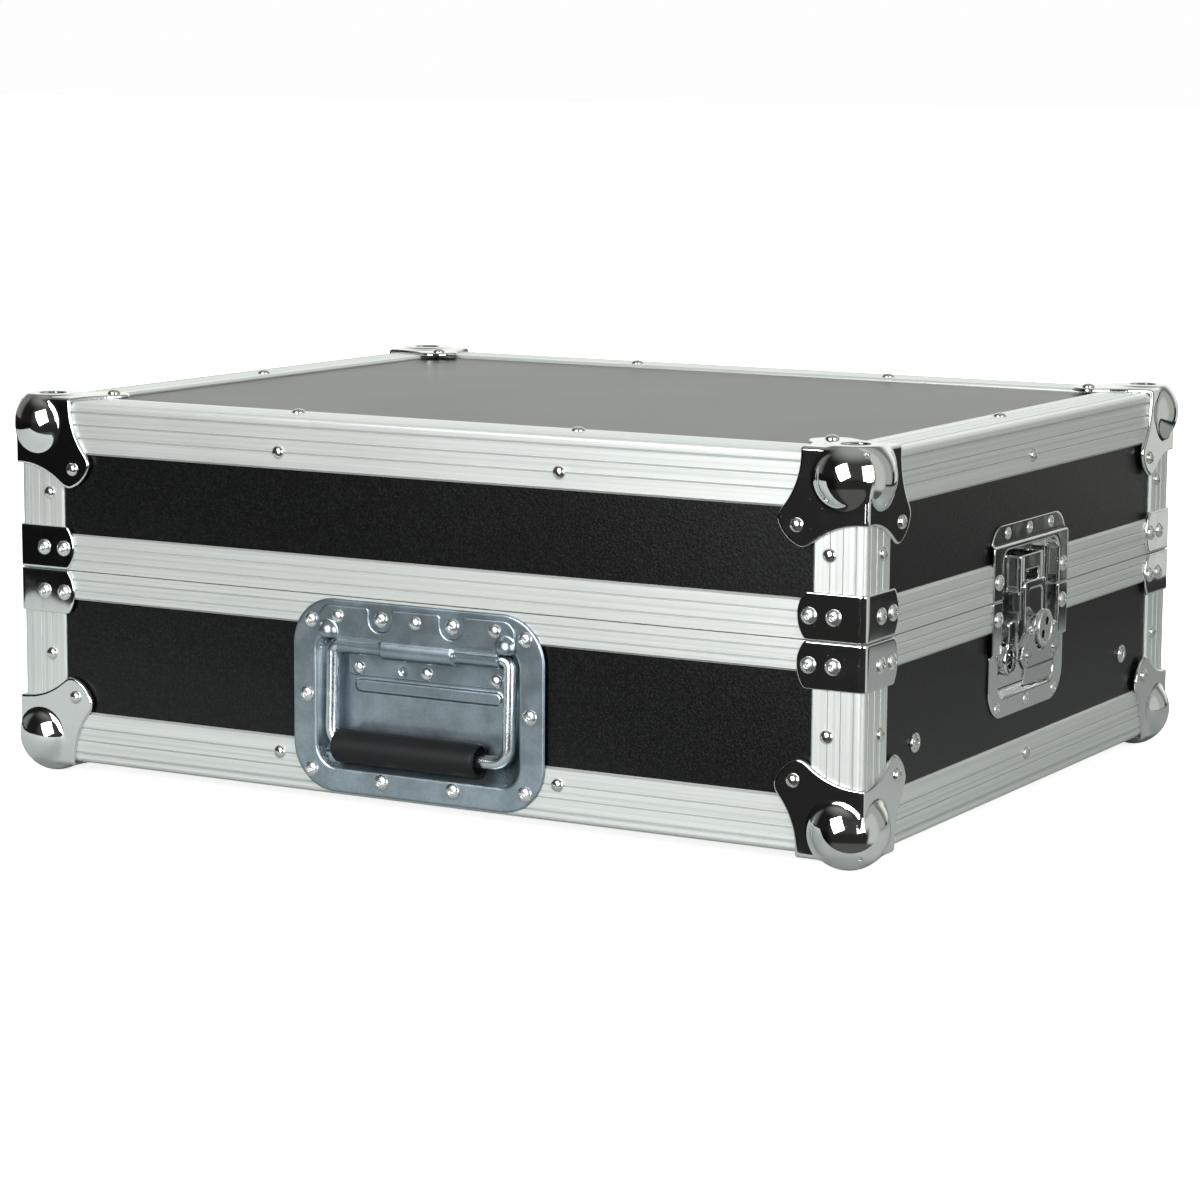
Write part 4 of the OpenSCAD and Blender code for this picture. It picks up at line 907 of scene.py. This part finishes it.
class CASE_OT_walls(bpy.types.Operator):
    """Laminate on the walls, anodising on the profiles"""
    bl_idname = "rack_case.walls"
    bl_label = "Walls and profiles"

    def execute(self, context):
        for node in NODES:
            if node.endswith("_panel") or node == "base_floor":
                recolour(node, finish("laminate"))
        # Lines of painted shade along the profiles' grooves: (distance from edge, reach, depth)
        groove_shading = ((5.8, 1.7, 0.42), (9.6, 0.9, 0.16), (13.1, 0.6, 0.5), (16.4, 1.3, 0.2),
                 (RIVET_LINE, 0.6, 0.5), (29.2, 0.9, 0.25))
        along = {"front_angle": "x", "back_angle": "x", "left_angle": "y", "right_angle": "y",
                 "posts": "z"}
        looks = {way: profile_look(f"profile along {way}", way, groove_shading, False) for way in "xyz"}
        for part in ("base", "lid"):
            for piece, way in along.items():
                recolour(f"{part}_{piece}", looks[way])
        # Lines of painted shade along the rims' grooves, measured from the split
        rim_groove_shading = {"base": ((5.0, 0.7, 0.45), (8.0, 1.2, 0.18), (11.4, 0.6, 0.45), (16.2, 0.7, 0.25)),
                "lid": ((6.5, 0.7, 0.45), (10.4, 1.4, 0.18), (14.7, 0.6, 0.45), (20.9, 0.8, 0.25))}
        for part, lines in rim_groove_shading.items():
            recolour(f"{part}_rim", profile_look(f"{part} rim", "x", lines, True))
        for side in ("left", "right"):
            recolour(f"rack_rail_{side}", finish("rail"))
        return {"FINISHED"}


class CASE_OT_rivets(bpy.types.Operator):
    """Domed and pop rivets, rail screws with cup washers"""
    bl_idname = "rack_case.rivets"
    bl_label = "Rivets and screws"

    def execute(self, context):
        size = shape()
        dome = head("dome", dome_line())
        pop = head("pop", pop_line())
        walls = {"front": (HALF_W, (-THIRD, THIRD)), "back": (HALF_W, (-THIRD, THIRD)),
                 "right": (HALF_D, (0.0,)), "left": (HALF_D, (0.0,))}
        for part, (plan, heights, brace, latch, latch_low) in RIVETED.items():
            domes, low = [], []
            pops = seats_on("front", HANDLE_POPS) if part == "base" else []
            for face, (half, along) in walls.items():
                domes += seats_on(face, wall_domes(half, along, *heights))
                pops += seats_on(face, brace_pops(half, brace))
            domes += seats_on(plan, plan_domes())
            for face in ("right", "left"):
                pops += seats_on(face, latch)
                low += seats_on(face, latch_low)
            piece = seat_fasteners(f"{part}_dome_heads", domes, dome, size.dome_radius,
                                   size.dome_height, "dome")
            dress(piece, part, f"{part}_dome_rivets")
            full = seat_fasteners(f"{part}_full_pops", pops, pop, size.pop_radius,
                                  size.pop_height, "pop")
            flush = seat_fasteners(f"{part}_low_pops", low, pop, *LOW_POP, "pop")
            dress(join(f"{part}_pop_heads", [full, flush]), part, f"{part}_pop_rivets")
        self.rail_screws()
        return {"FINISHED"}

    def rail_screws(self):
        places = [(-149.0, 50.5), (149.0, 55.8)]
        outer, inner = [], []
        for face, turn in (("right", 1), ("left", -1)):
            outer += seats_on(face, [(turn * u, v, -2.0) for u, v in places])
            inner += seats_on(face, [(turn * u, v, -13.0) for u, v in places])
        inner = [(p, tuple(-c for c in way)) for p, way in inner]
        raised = [(p + np.array(way) * 0.6 * MM, way) for p, way in outer]
        nut = head("nut", nut_line(), 6, False)
        sets = [seat_fasteners("cup_washers", outer, head("cup", cup_line()), 5.6, 1.7, "dome"),
                seat_fasteners("screw_heads", raised, slotted_head(), 3.3, 1.6, "dome"),
                seat_fasteners("rail_nuts", inner, nut, 5.0, 5.0, "pop")]
        dress(join("rail_screw_sets", sets), "base", "rail_screws")


# Handle

def dish_cut(u, v, o, grow, floor, k):
    """The drawn hollow of the handle dish, grown for its outside"""
    draw = 6.7 * np.clip(-o, 0.0, DISH_DEPTH) / DISH_DEPTH
    half = 64.7 + grow - draw
    low = 16.2 - grow + draw
    return blend_high(rounded(u, v, (-half, low), (half, 93.0 + grow), 12.0 + grow), floor - o, k)


def handle_dish_field(u, v, o):
    flange = blend_high(rounded(u, v, (-81.0, HANDLE_LOW), (81.0, 110.9), 27.0),
                        slab(o, 0.0, PLATE_T), 0.9)
    pan = np.maximum(dish_cut(u, v, o, 1.2, -DISH_DEPTH - 1.2, 4.0), o - 0.6)
    air = blend_low(dish_cut(u, v, o, 0.0, -DISH_DEPTH, 4.0), PLATE_T - o, 2.6)
    body = np.maximum(np.minimum(flange, pan), -air)
    bead = np.hypot(np.maximum(np.abs(u) - 43.9, 0), v - 61.4) - 3.3
    bead = between(bead, o, -11.6, -9.9, 0.5)
    return blend_low(body, bead, 0.7)


def hinge_plate_field(u, v, o):
    plate = rounded(u, v, (-63.5, 89.3), (63.5, 107.5), 8.0)
    for s in (-23.0, 23.0):
        notch = np.minimum(disc(u, v, (s, 101.3), 7.0), np.maximum(np.abs(u - s) - 7.0, 101.3 - v))
        plate = blend_high(plate, -notch, 2.0)
    plate = between(plate, o, 1.5, 2.7, 0.8)
    axis = np.hypot(v - BARREL_UP, o - BARREL_OUT)
    step = 5.0 + 1.7 * np.clip((24.3 - np.abs(u)) / 1.6, 0.0, 1.0)
    barrel = blend_high(axis - step, np.abs(u) - 52.0, 0.8)
    curl = np.maximum(np.maximum(slab(v, 87.0, 92.9), slab(o, -3.0, 2.7)), np.abs(u) - 52.0)
    curl = blend_high(curl, axis - 8.6, 0.8)
    curl = blend_high(curl, -np.maximum(np.hypot(v - 91.0, o - 4.6) - 3.4, v - 92.4), 0.8)
    strip = between(rounded(u, v, (-52.0, 66.9), (52.0, 86.0), 3.0), o, -11.0, -9.4, 0.8)
    dimple = np.sqrt((u + 15.6) ** 2 + (v - 72.0) ** 2 + (o + 7.8) ** 2) - 2.9
    strip = blend_high(strip, -dimple, 0.7)
    body = blend_low(np.minimum(blend_low(barrel, curl, 1.2), strip), plate, 1.0)
    for s in (-57.3, 57.3):
        lug = np.sqrt((u - s) ** 2 + (v - 92.4) ** 2 + (1.3 * (o - 1.5)) ** 2) - 6.3
        lug = blend_high(lug, np.maximum(89.3 - v, 1.5 - o), 1.2)
        body = blend_low(body, lug, 1.2)
    bore = np.where(np.abs(u) < 22.3, 5.5, 3.95)
    return np.maximum(body, bore - axis)


class CASE_OT_handle(bpy.types.Operator):
    """Recessed handle: dish, hinge plate with barrel, sprung bail and grip"""
    bl_idname = "rack_case.handle"
    bl_label = "Handle"

    def execute(self, context):
        pressings = (
            ("handle_pressed_dish", handle_dish_field, (-82.5, 0.5, -13.5), (82.5, 112.4, 2.8), 0.8,
             "handle_dish"),
            ("handle_barrel_plate", hinge_plate_field, (-65.5, 65.5, -12.5), (65.5, 109.0, 6.3),
             0.62, "handle_hinge_plate"),
        )
        for name, field, low, high, step, node in pressings:
            points, faces = skin(field, low, high, step)
            keep_piece(name, on_face("front", *(points + (HANDLE_X, 0.0, 0.0)).T), faces, "zinc",
                       "base", "handle_zinc", node)
        plate = [(HANDLE_X + u, HANDLE_LOW + 99.4, 2.7) for u in (50.5, 0.0, -50.5)]
        strip = [(HANDLE_X + u, HANDLE_LOW + 69.5, -9.4) for u in (44.3, 0.0, -44.3)]
        heads = seat_fasteners("handle_dome_heads", seats_on("front", plate + strip),
                               head("small dome", dome_line()), 3.8, 2.1, "pop")
        dress(heads, "base", "handle_plate_rivets")
        self.spring()
        self.bail()
        return {"FINISHED"}

    def spring(self):
        turns, around_turn, r, wire, half = 15, 18, 4.65, 0.42, 19.5
        path = []
        for i in range(turns * around_turn + 1):
            a = 2 * math.pi * i / around_turn
            along = half * (2 * i / (turns * around_turn) - 1)
            path.append(on_face("front", HANDLE_X + along, BARREL_UP + r * math.cos(a),
                                BARREL_OUT + r * math.sin(a)))
        verts, faces = swept(path, wire * MM, 8, False)
        keep_piece("handle_coil_spring", verts, faces, "spring", "base", "spring", "handle_spring")

    def bail(self):
        lean = math.radians(1.9)
        half, drop, bend, elbow = 57.3, 56.7, 10.0, 4.6

        def place(across, down):
            return on_face("front", HANDLE_X + across, BARREL_UP - down * math.cos(lean),
                           BARREL_OUT + down * math.sin(lean))

        loop = (arc((half - elbow, elbow), elbow, -90, 0, 8)
                + arc((half - bend, drop - bend), bend, 0, 90, 12)
                + arc((bend - half, drop - bend), bend, 90, 180, 12)
                + arc((elbow - half, elbow), elbow, 180, 270, 8))
        verts, faces = swept([place(*at) for at in loop], 3.75 * MM, 24, True)
        keep_piece("handle_bent_rod", verts, faces, "rod", "handle", "handle_zinc", "handle_bail")
        line = [(3.8, -40.0), (7.2, -40.2), (7.5, -45.2), (7.7, -45.8), (8.2, -46.0), (8.9, -45.7),
                (9.35, -45.0), (9.5, -44.0), (9.5, -43.0)]
        line += [(9.5, h) for h in np.linspace(-38.0, 38.0, 9)]
        line += [(r, -h) for r, h in reversed(line[:9])]
        turned("handle_moulded_grip", line, 64, place(-6.7, drop), math.pi / 2, "Y", "grip",
               "handle", "grip", "handle_grip", ring=True)


# Latches: u along the end, v from the split, o outwards

def stepped_plate(u, v, o, low, high, r, top):
    sheet = np.abs(o - (top - 0.6)) - 0.6
    flange = blend_high(rounded(u, v, (-53.5, low), (53.5, high), r), sheet, 0.8)
    pan = blend_high(rounded(u, v, (-41.2, -56.0), (41.2, 28.8), 9.2),
                     -LATCH_DEPTH - LATCH_T - o, 3.0)
    hollow = blend_high(rounded(u, v, (-40.0, -54.8), (40.0, 27.6), 8.0), -LATCH_DEPTH - o, 3.0)
    body = np.minimum(flange, np.maximum(pan, o - top + 0.4))
    return np.maximum(body, -blend_low(hollow, top - o, 1.6))


def latch_base_field(u, v, o):
    rise = np.clip((v + 31.1) / 2.2, 0.0, 1.0)
    top = -0.8 + 2.0 * rise * rise * (3 - 2 * rise)
    body = stepped_plate(u, v, o, -66.5, 66.5, 19.0, top)
    body = np.maximum(body, -np.maximum(disc(u, v, (0.0, SPINDLE), 5.1), o))
    ring = np.abs(np.hypot(u + 21.0, v + 35.5) - 7.0) - 2.0
    ring = between(ring, o, -8.6, -1.0, 1.6)
    tab = between(rounded(u, v, (-26.0, -29.5), (-16.0, -14.0), 2.0), o, -2.5, -1.0, 0.8)
    body = np.minimum(body, blend_low(ring, tab, 1.2))
    return np.maximum(body, v)


def latch_lid_field(u, v, o):
    rise = np.clip((v - 30.2) / 2.2, 0.0, 1.0)
    top = 1.2 - 2.0 * rise * rise * (3 - 2 * rise)
    return np.maximum(stepped_plate(u, v, o, -42.0, 42.0, 15.0, top), SPLIT_GAP - v)


def keeper_field(u, v, o):
    outer = blend_high(slab(u, -16.5, 16.5), o - 1.5, 2.0)
    inner = blend_high(slab(u, -15.0, 15.0), o, 1.0)
    strap = between(np.maximum(outer, -inner), v, 1.5, 22.5, 0.8)
    strap = np.maximum(strap, -7.95 - o)
    slot = rounded(u, v, (-10.0, 5.9), (10.0, 13.5), 1.2)
    rib = between(slab(np.abs(u), 12.4, 14.0), v, 2.3, 21.7, 0.6)
    strap = blend_high(strap, -np.maximum(rib, 1.1 - o), 0.5)
    return blend_high(strap, -slot, 0.8)


def hook_field(u, v, o):
    body = rounded(u, v, (-15.0, -48.0), (15.0, 7.7), 2.0)
    plate = between(body, o, 2.3, 3.8, 0.8)
    walls = np.maximum(slab(np.abs(u), 13.6, 15.0), slab(v, -27.0, 5.0))
    plate = blend_low(plate, between(walls, o, -0.6, 3.2, 0.6), 0.8)
    lip = np.maximum(np.abs(u) - 9.3, slab(v, 6.2, 7.7))
    plate = blend_low(plate, between(lip, o, -0.5, 3.0, 0.6), 1.2)
    sunk = rounded(u, v, (-10.4, -60.0), (10.4, 3.4), 4.0)
    plate = blend_high(plate, -np.maximum(sunk, 3.25 - o), 0.5)
    hole = rounded(u, v, (-10.9, -29.9), (10.9, -13.1), 8.3)
    return blend_high(plate, -hole, 0.6)


def spindle_field(u, v, o):
    d = np.hypot(u, v - SPINDLE)
    boss = between(d - 10.5, o, 7.0, 10.8, 1.2)
    dish = np.maximum(d - 8.4, 10.15 - o)
    boss = blend_high(boss, -dish, 0.5)
    cam = np.maximum(np.hypot(u, v - SPINDLE + 2.5) - 7.5, slab(o, 2.0, 7.2))
    stem = np.maximum(d - 7.0, slab(o, -7.9, 2.1))
    tail = np.minimum(np.maximum(d - 5.0, slab(o, -10.4, -7.5)),
                      np.maximum(d - 8.0, slab(o, -10.5, -9.3)))
    body = np.minimum(np.minimum(boss, cam), np.minimum(stem, tail))
    a = math.radians(EYE_TURN)
    for s in (-EYE_OUT, EYE_OUT):
        eye = disc(u, v, (s * math.cos(a), SPINDLE + s * math.sin(a)), EYE_R)
        body = blend_high(body, -np.maximum(eye, 8.4 - o), 0.4)
    return body


WING = [(15.4, 2.4), (27.0, -8.0), (28.0, -15.0), (20.7, -21.5), (19.2, -31.1)]


def wing_field(u, v, o):
    s = v - SPINDLE
    face = 9.3 + np.minimum(2.2 * s / 21.5, 0.1)
    face = np.where(s < -21.5, 7.1 + 1.4 * (s + 21.5) / 9.6, face)
    face = face + 0.35 * np.exp(-((s + 21.5) / 0.8) ** 2)
    edge = outline(u, s, WING + [(-a, b) for a, b in reversed(WING)]) + 0.3
    plate = blend_high(edge, np.abs(o - face + 0.8) - 0.8, 0.9)
    wall = np.maximum(edge, -edge - 1.3)
    wall = np.maximum(np.maximum(wall, slab(o, 4.5, face - 0.4)), np.maximum(s + 1.0, -21.0 - s))
    body = blend_low(plate, wall, 0.8)
    reach = np.hypot(u, s)
    body = blend_high(body, 12.2 - reach, 0.9)
    knuckle = np.maximum(np.hypot(s, o - WING_AXIS) - 2.4, slab(np.abs(u), 11.0, 15.4))
    body = blend_low(body, knuckle, 0.8)
    for side in (-19.1, 19.1):
        d = disc(u, s, (side, -14.0), 3.1)
        cross = 0.16 * (np.cos((u + s) * 4.2) * np.cos((u - s) * 4.2))
        stud = between(d, o, face - 0.6, face + 1.05 + cross, 0.6)
        ring = np.maximum(np.abs(d - 0.9) - 0.35, face - 0.35 - o)
        body = np.minimum(blend_high(body, -ring, 0.3), stud)
    return np.maximum(body, 1.23 - np.hypot(s, o - WING_AXIS))


class CASE_OT_latches(bpy.types.Operator):
    """The two recessed butterfly latches"""
    bl_idname = "rack_case.latches"
    bl_label = "Latches"

    def execute(self, context):
        parts = (
            ("base_dish", latch_base_field, (-55.0, -68.0, -10.8), (55.0, 1.3, 2.6), 0.66),
            ("lid_dish", latch_lid_field, (-55.0, -0.7, -10.8), (55.0, 43.5, 2.6), 0.66),
            ("keeper", keeper_field, (-18.0, 0.3, -9.3), (18.0, 23.9, 2.8), 0.5),
            ("hook", hook_field, (-16.2, -49.5, -1.9), (16.2, 9.0, 5.0), 0.45),
            ("spindle", spindle_field, (-11.7, SPINDLE - 11.7, -11.6),
             (11.7, SPINDLE + 11.7, 11.9), 0.42),
            ("wing", wing_field, (-29.5, SPINDLE - 33.0, 2.6), (29.5, SPINDLE + 4.6, 12.2), 0.42),
        )
        rides = {"base_dish": "base", "lid_dish": "lid", "keeper": "lid"}
        looks = {"spindle": "boss", "wing": "wing"}
        for name, field, low, high, step in parts:
            points, faces = skin(field, low, high, step)
            for side in ("right", "left"):
                keep_piece(f"latch_{side}_pressed_{name}",
                           on_face(side, *(points + (0.0, BASE_H, 0.0)).T), faces,
                           looks.get(name, "latch"), rides.get(name, f"latch_{side}_{name}"),
                           "latch_chrome", f"latch_{side}_{name}")
        pin = [(0.0, -15.4), (0.9, -15.4), (1.15, -15.1), (1.2, -14.8)]
        pin += [(r, -h) for r, h in reversed(pin)]
        for side in ("right", "left"):
            turned(f"latch_{side}_turned_pin", pin, 20,
                   on_face(side, 0.0, SPINDLE + BASE_H, WING_AXIS), -math.pi / 2, "X", "pop",
                   f"latch_{side}_wing", "latch_chrome", f"latch_{side}_wing_pin")
        return {"FINISHED"}


class CASE_OT_lining(bpy.types.Operator):
    """Waffled foam pad under the lid's top"""
    bl_idname = "rack_case.lining"
    bl_label = "Lid foam"

    def execute(self, context):
        low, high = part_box("lid_foam")
        edge, pitch, step = 0.004, 0.024, 0.004
        across = np.linspace(low.x, high.x, round((high.x - low.x) / step) + 1)
        deep = np.linspace(low.y, high.y, round((high.y - low.y) / step) + 1)
        gx, gy = np.meshgrid(across, deep, indexing="ij")
        rim = np.minimum(np.minimum(gx - low.x, high.x - gx), np.minimum(gy - low.y, high.y - gy))
        lift = np.clip(rim / edge, 0, 1)
        lift = lift * (2 - lift)
        wave = np.cos(2 * math.pi * gx / pitch) * np.cos(2 * math.pi * gy / pitch)
        thick = (high.z - low.z) * (0.3 + 0.7 * lift * (0.72 + 0.28 * wave))
        lower = np.stack([gx, gy, high.z - thick], -1).reshape(-1, 3)
        upper = np.stack([gx, gy, np.full_like(gx, high.z - 0.0002)], -1).reshape(-1, 3)
        index = np.arange(len(lower)).reshape(gx.shape)
        flat = np.stack([index[:-1, :-1], index[1:, :-1], index[1:, 1:], index[:-1, 1:]], -1)
        flat = flat.reshape(-1, 4)
        loop = np.concatenate([index[:-1, 0], index[-1, :-1], index[:0:-1, -1], index[0, :0:-1]])
        ahead = np.roll(loop, -1)
        sides = np.stack([loop, ahead, ahead + len(lower), loop + len(lower)], -1)
        faces = np.concatenate([flat[:, ::-1], flat + len(lower), sides])
        pad = keep_piece("lid_waffle_foam", np.concatenate([lower, upper]), faces, "foam", "lid",
                         "foam", "lid_foam")
        return {"FINISHED"}


# Stage

CAMERA_AT = (1.02753, -1.84056, 0.41368)
CAMERA_TURN = (29.32725, 8.60547, 0.391846)
CAMERA_LENS = 106.749
LEFT_ROLL = 28.0
AIM = (0.2, -0.15, 0.1)


def around(azimuth, elevation, reach=1.0, centre=(0.0, 0.0, 0.0)):
    """A point seen from the centre at those angles in degrees, 0 being the front"""
    a, e = math.radians(azimuth), math.radians(elevation)
    way = Vector((math.sin(a) * math.cos(e), -math.cos(a) * math.cos(e), math.sin(e)))
    return Vector(centre) + way * reach


def glow_plane(name, middle, size, facing, power, roll=0.0):
    """A soft area light that faces a point, rolled by some degrees about its axis"""
    data = bpy.data.lights.new(name, "AREA")
    data.shape = "RECTANGLE"
    data.size, data.size_y = size
    data.energy = power
    lamp = bpy.data.objects.new(name, data)
    lamp.location = middle
    way = Vector(facing) - Vector(middle)
    turn = way.to_track_quat("-Z", "Y").to_matrix() @ Matrix.Rotation(math.radians(roll), 3, "Z")
    lamp.rotation_euler = turn.to_euler()
    lamp.visible_camera = False
    return show(lamp)


class CASE_OT_stage(bpy.types.Operator):
    """Camera, floor, soft studio lights and surroundings"""
    bl_idname = "rack_case.stage"
    bl_label = "Stage"

    def execute(self, context):
        self.camera()
        self.floor()
        self.lights()
        self.surroundings()
        context.scene.view_settings.view_transform = "Standard"
        return {"FINISHED"}

    def camera(self):
        azimuth, elevation, roll = CAMERA_TURN
        back = around(azimuth, elevation)
        right = Vector((0, 0, 1)).cross(back).normalized()
        up = back.cross(right)
        roll = math.radians(roll)
        across = right * math.cos(roll) + up * math.sin(roll)
        upward = up * math.cos(roll) - right * math.sin(roll)
        data = bpy.data.cameras.new("camera")
        data.lens = CAMERA_LENS
        data.sensor_width = 36.0
        eye = show(bpy.data.objects.new("camera", data))
        turn = Matrix((across, upward, back)).transposed().to_4x4()
        eye.matrix_world = Matrix.Translation(Vector(CAMERA_AT)) @ turn
        bpy.context.scene.camera = eye

    def sheet(self, name, low, high, z, look, turn=0.0):
        """A flat sheet between two corners that throws no shadow or light on the case"""
        rim = [(x, y, z) for x, y in (low, (high[0], low[1]), high, (low[0], high[1]))]
        made = show(plain(name, rim, [(0, 1, 2, 3)], False))
        made.data.materials.append(look)
        made.rotation_euler.z = math.radians(turn)
        made.visible_diffuse = False
        made.visible_shadow = False
        return made

    def floor(self):
        pale = Look("floor paper")
        tooth = pale.noise(260.0, 2.0)
        paper = pale.finish(
            Base_Color=pale.mix(tooth * 0.15, tone("floor"), tone("floor", 0.97)), Roughness=0.85,
            Emission_Color=(1.0, 1.0, 1.0), Emission_Strength=0.8,
            Normal=pale.bump(tooth, 0.0002, 0.2))
        ground = self.sheet("floor", (-30.0, -30.0), (30.0, 30.0), -0.0003, paper)
        ground.visible_glossy = False
        grey = Look("table top")
        far = grey.split(grey.where)[0]
        shade = grey.mix(grey.noise(3.0, 2.0), (0.36, 0.385, 0.375), (0.40, 0.425, 0.413))
        fade = (far.ramp(0.1, 0.5) * 0.5).high(far.ramp(0.6, 0.8))
        table = self.sheet("table", (-1.0, -0.331), (0.9, 0.8), -0.0002, grey.finish(
            Base_Color=grey.mix(fade, shade, (0.0, 0.0, 0.0)), Roughness=0.8), CAMERA_TURN[0])
        table.visible_camera = False
        table.visible_transmission = False

    def lights(self):
        glow_plane("left softbox", around(-8.0, 16.5, 2.3, AIM), (1.3, 1.6), AIM, 57.0, LEFT_ROLL)
        glow_plane("right softbox", around(61.5, 14.0, 2.3, AIM), (1.2, 1.55), AIM, 32.0)
        top = glow_plane("overhead softbox", (0.0, 0.35, 2.4), (2.4, 1.6), (0.0, 0.0, 0.0), 73.0)
        top.visible_glossy = False

    def surroundings(self):
        world = bpy.data.worlds.new("studio")
        bpy.context.scene.world = world
        look = Look("studio", world)
        way = look.node("ShaderNodeTexCoord").outputs["Generated"]
        x, y, z = look.split(way)
        level = (x * x + y * y) ** 0.5

        def towards(azimuth):
            """1 towards that azimuth and 0 at right angles to it"""
            a = math.radians(azimuth)
            return (x * math.sin(a) - y * math.cos(a)) / level

        # A dim room, darker on the left, with a grey ceiling, a pale wall on the right and a
        # bright sheet behind that hangs past the far end of the table
        room = (0.1 - z.ramp(-0.55, -0.45) * 0.075 + z.ramp(-0.15, 0.05) * 0.03
                + z.ramp(0.58, 1.02) * 0.33)
        dark = towards(-80).ramp(0.5, 0.75) * (1.0 - z.ramp(0.5, 0.7))
        room = room * (1.0 - dark * 0.75)
        wall = towards(112).ramp(0.8, 0.9) * z.ramp(-0.6, -0.4)
        wall = wall * (0.42 + towards(95).ramp(0.9, 0.995) * 0.18)
        behind = y * 0.94 - x * 0.35
        sheet = (behind.ramp(-0.05, 0.35) * 0.2 + behind.ramp(0.6, 0.97) * 0.9) * z.ramp(0.0, 0.05)
        under = behind.ramp(0.732, 0.752) * z.ramp(-0.35, -0.3) * 0.66
        room = room.high(wall).high(sheet).high(under)
        tinted = look.mix(room, (0.0, 0.0, 0.0), (0.985, 1.01, 0.945))
        seen = look.node("ShaderNodeLightPath").outputs["Is Camera Ray"]
        shown = look.mix(seen, tinted, (0.98, 0.985, 0.98))
        light = look.node("ShaderNodeBackground", values=(shown,))
        look.link(light.outputs[0], look.out.inputs[0])


OPERATORS = (CASE_OT_stage, CASE_OT_walls, CASE_OT_corners, CASE_OT_braces, CASE_OT_rivets,
             CASE_OT_handle, CASE_OT_latches, CASE_OT_lining)


class CASE_PT_panel(bpy.types.Panel):
    """Lists the steps that dress the case"""
    bl_idname = "CASE_PT_panel"
    bl_label = "Rack Case"
    bl_space_type = "VIEW_3D"
    bl_region_type = "UI"
    bl_category = "Rack Case"

    def draw(self, context):
        for step in OPERATORS:
            self.layout.operator(step.bl_idname)
        for group in (context.scene.case_shape, context.scene.case_finish):
            box = self.layout.box()
            for name in group.__annotations__:
                box.prop(group, name)


CLASSES = (CaseShape, CaseFinish, *OPERATORS, CASE_PT_panel)


def register():
    for made in CLASSES:
        bpy.utils.register_class(made)
    bpy.types.Scene.case_shape = bpy.props.PointerProperty(type=CaseShape)
    bpy.types.Scene.case_finish = bpy.props.PointerProperty(type=CaseFinish)


def unregister():
    del bpy.types.Scene.case_finish
    del bpy.types.Scene.case_shape
    for made in reversed(CLASSES):
        bpy.utils.unregister_class(made)


def main():
    register()
    bpy.ops.rack_case.stage()
    bpy.ops.rack_case.walls()
    bpy.ops.rack_case.corners()
    bpy.ops.rack_case.braces()
    bpy.ops.rack_case.rivets()
    bpy.ops.rack_case.handle()
    bpy.ops.rack_case.latches()
    bpy.ops.rack_case.lining()


if __name__ == "__main__":
    main()
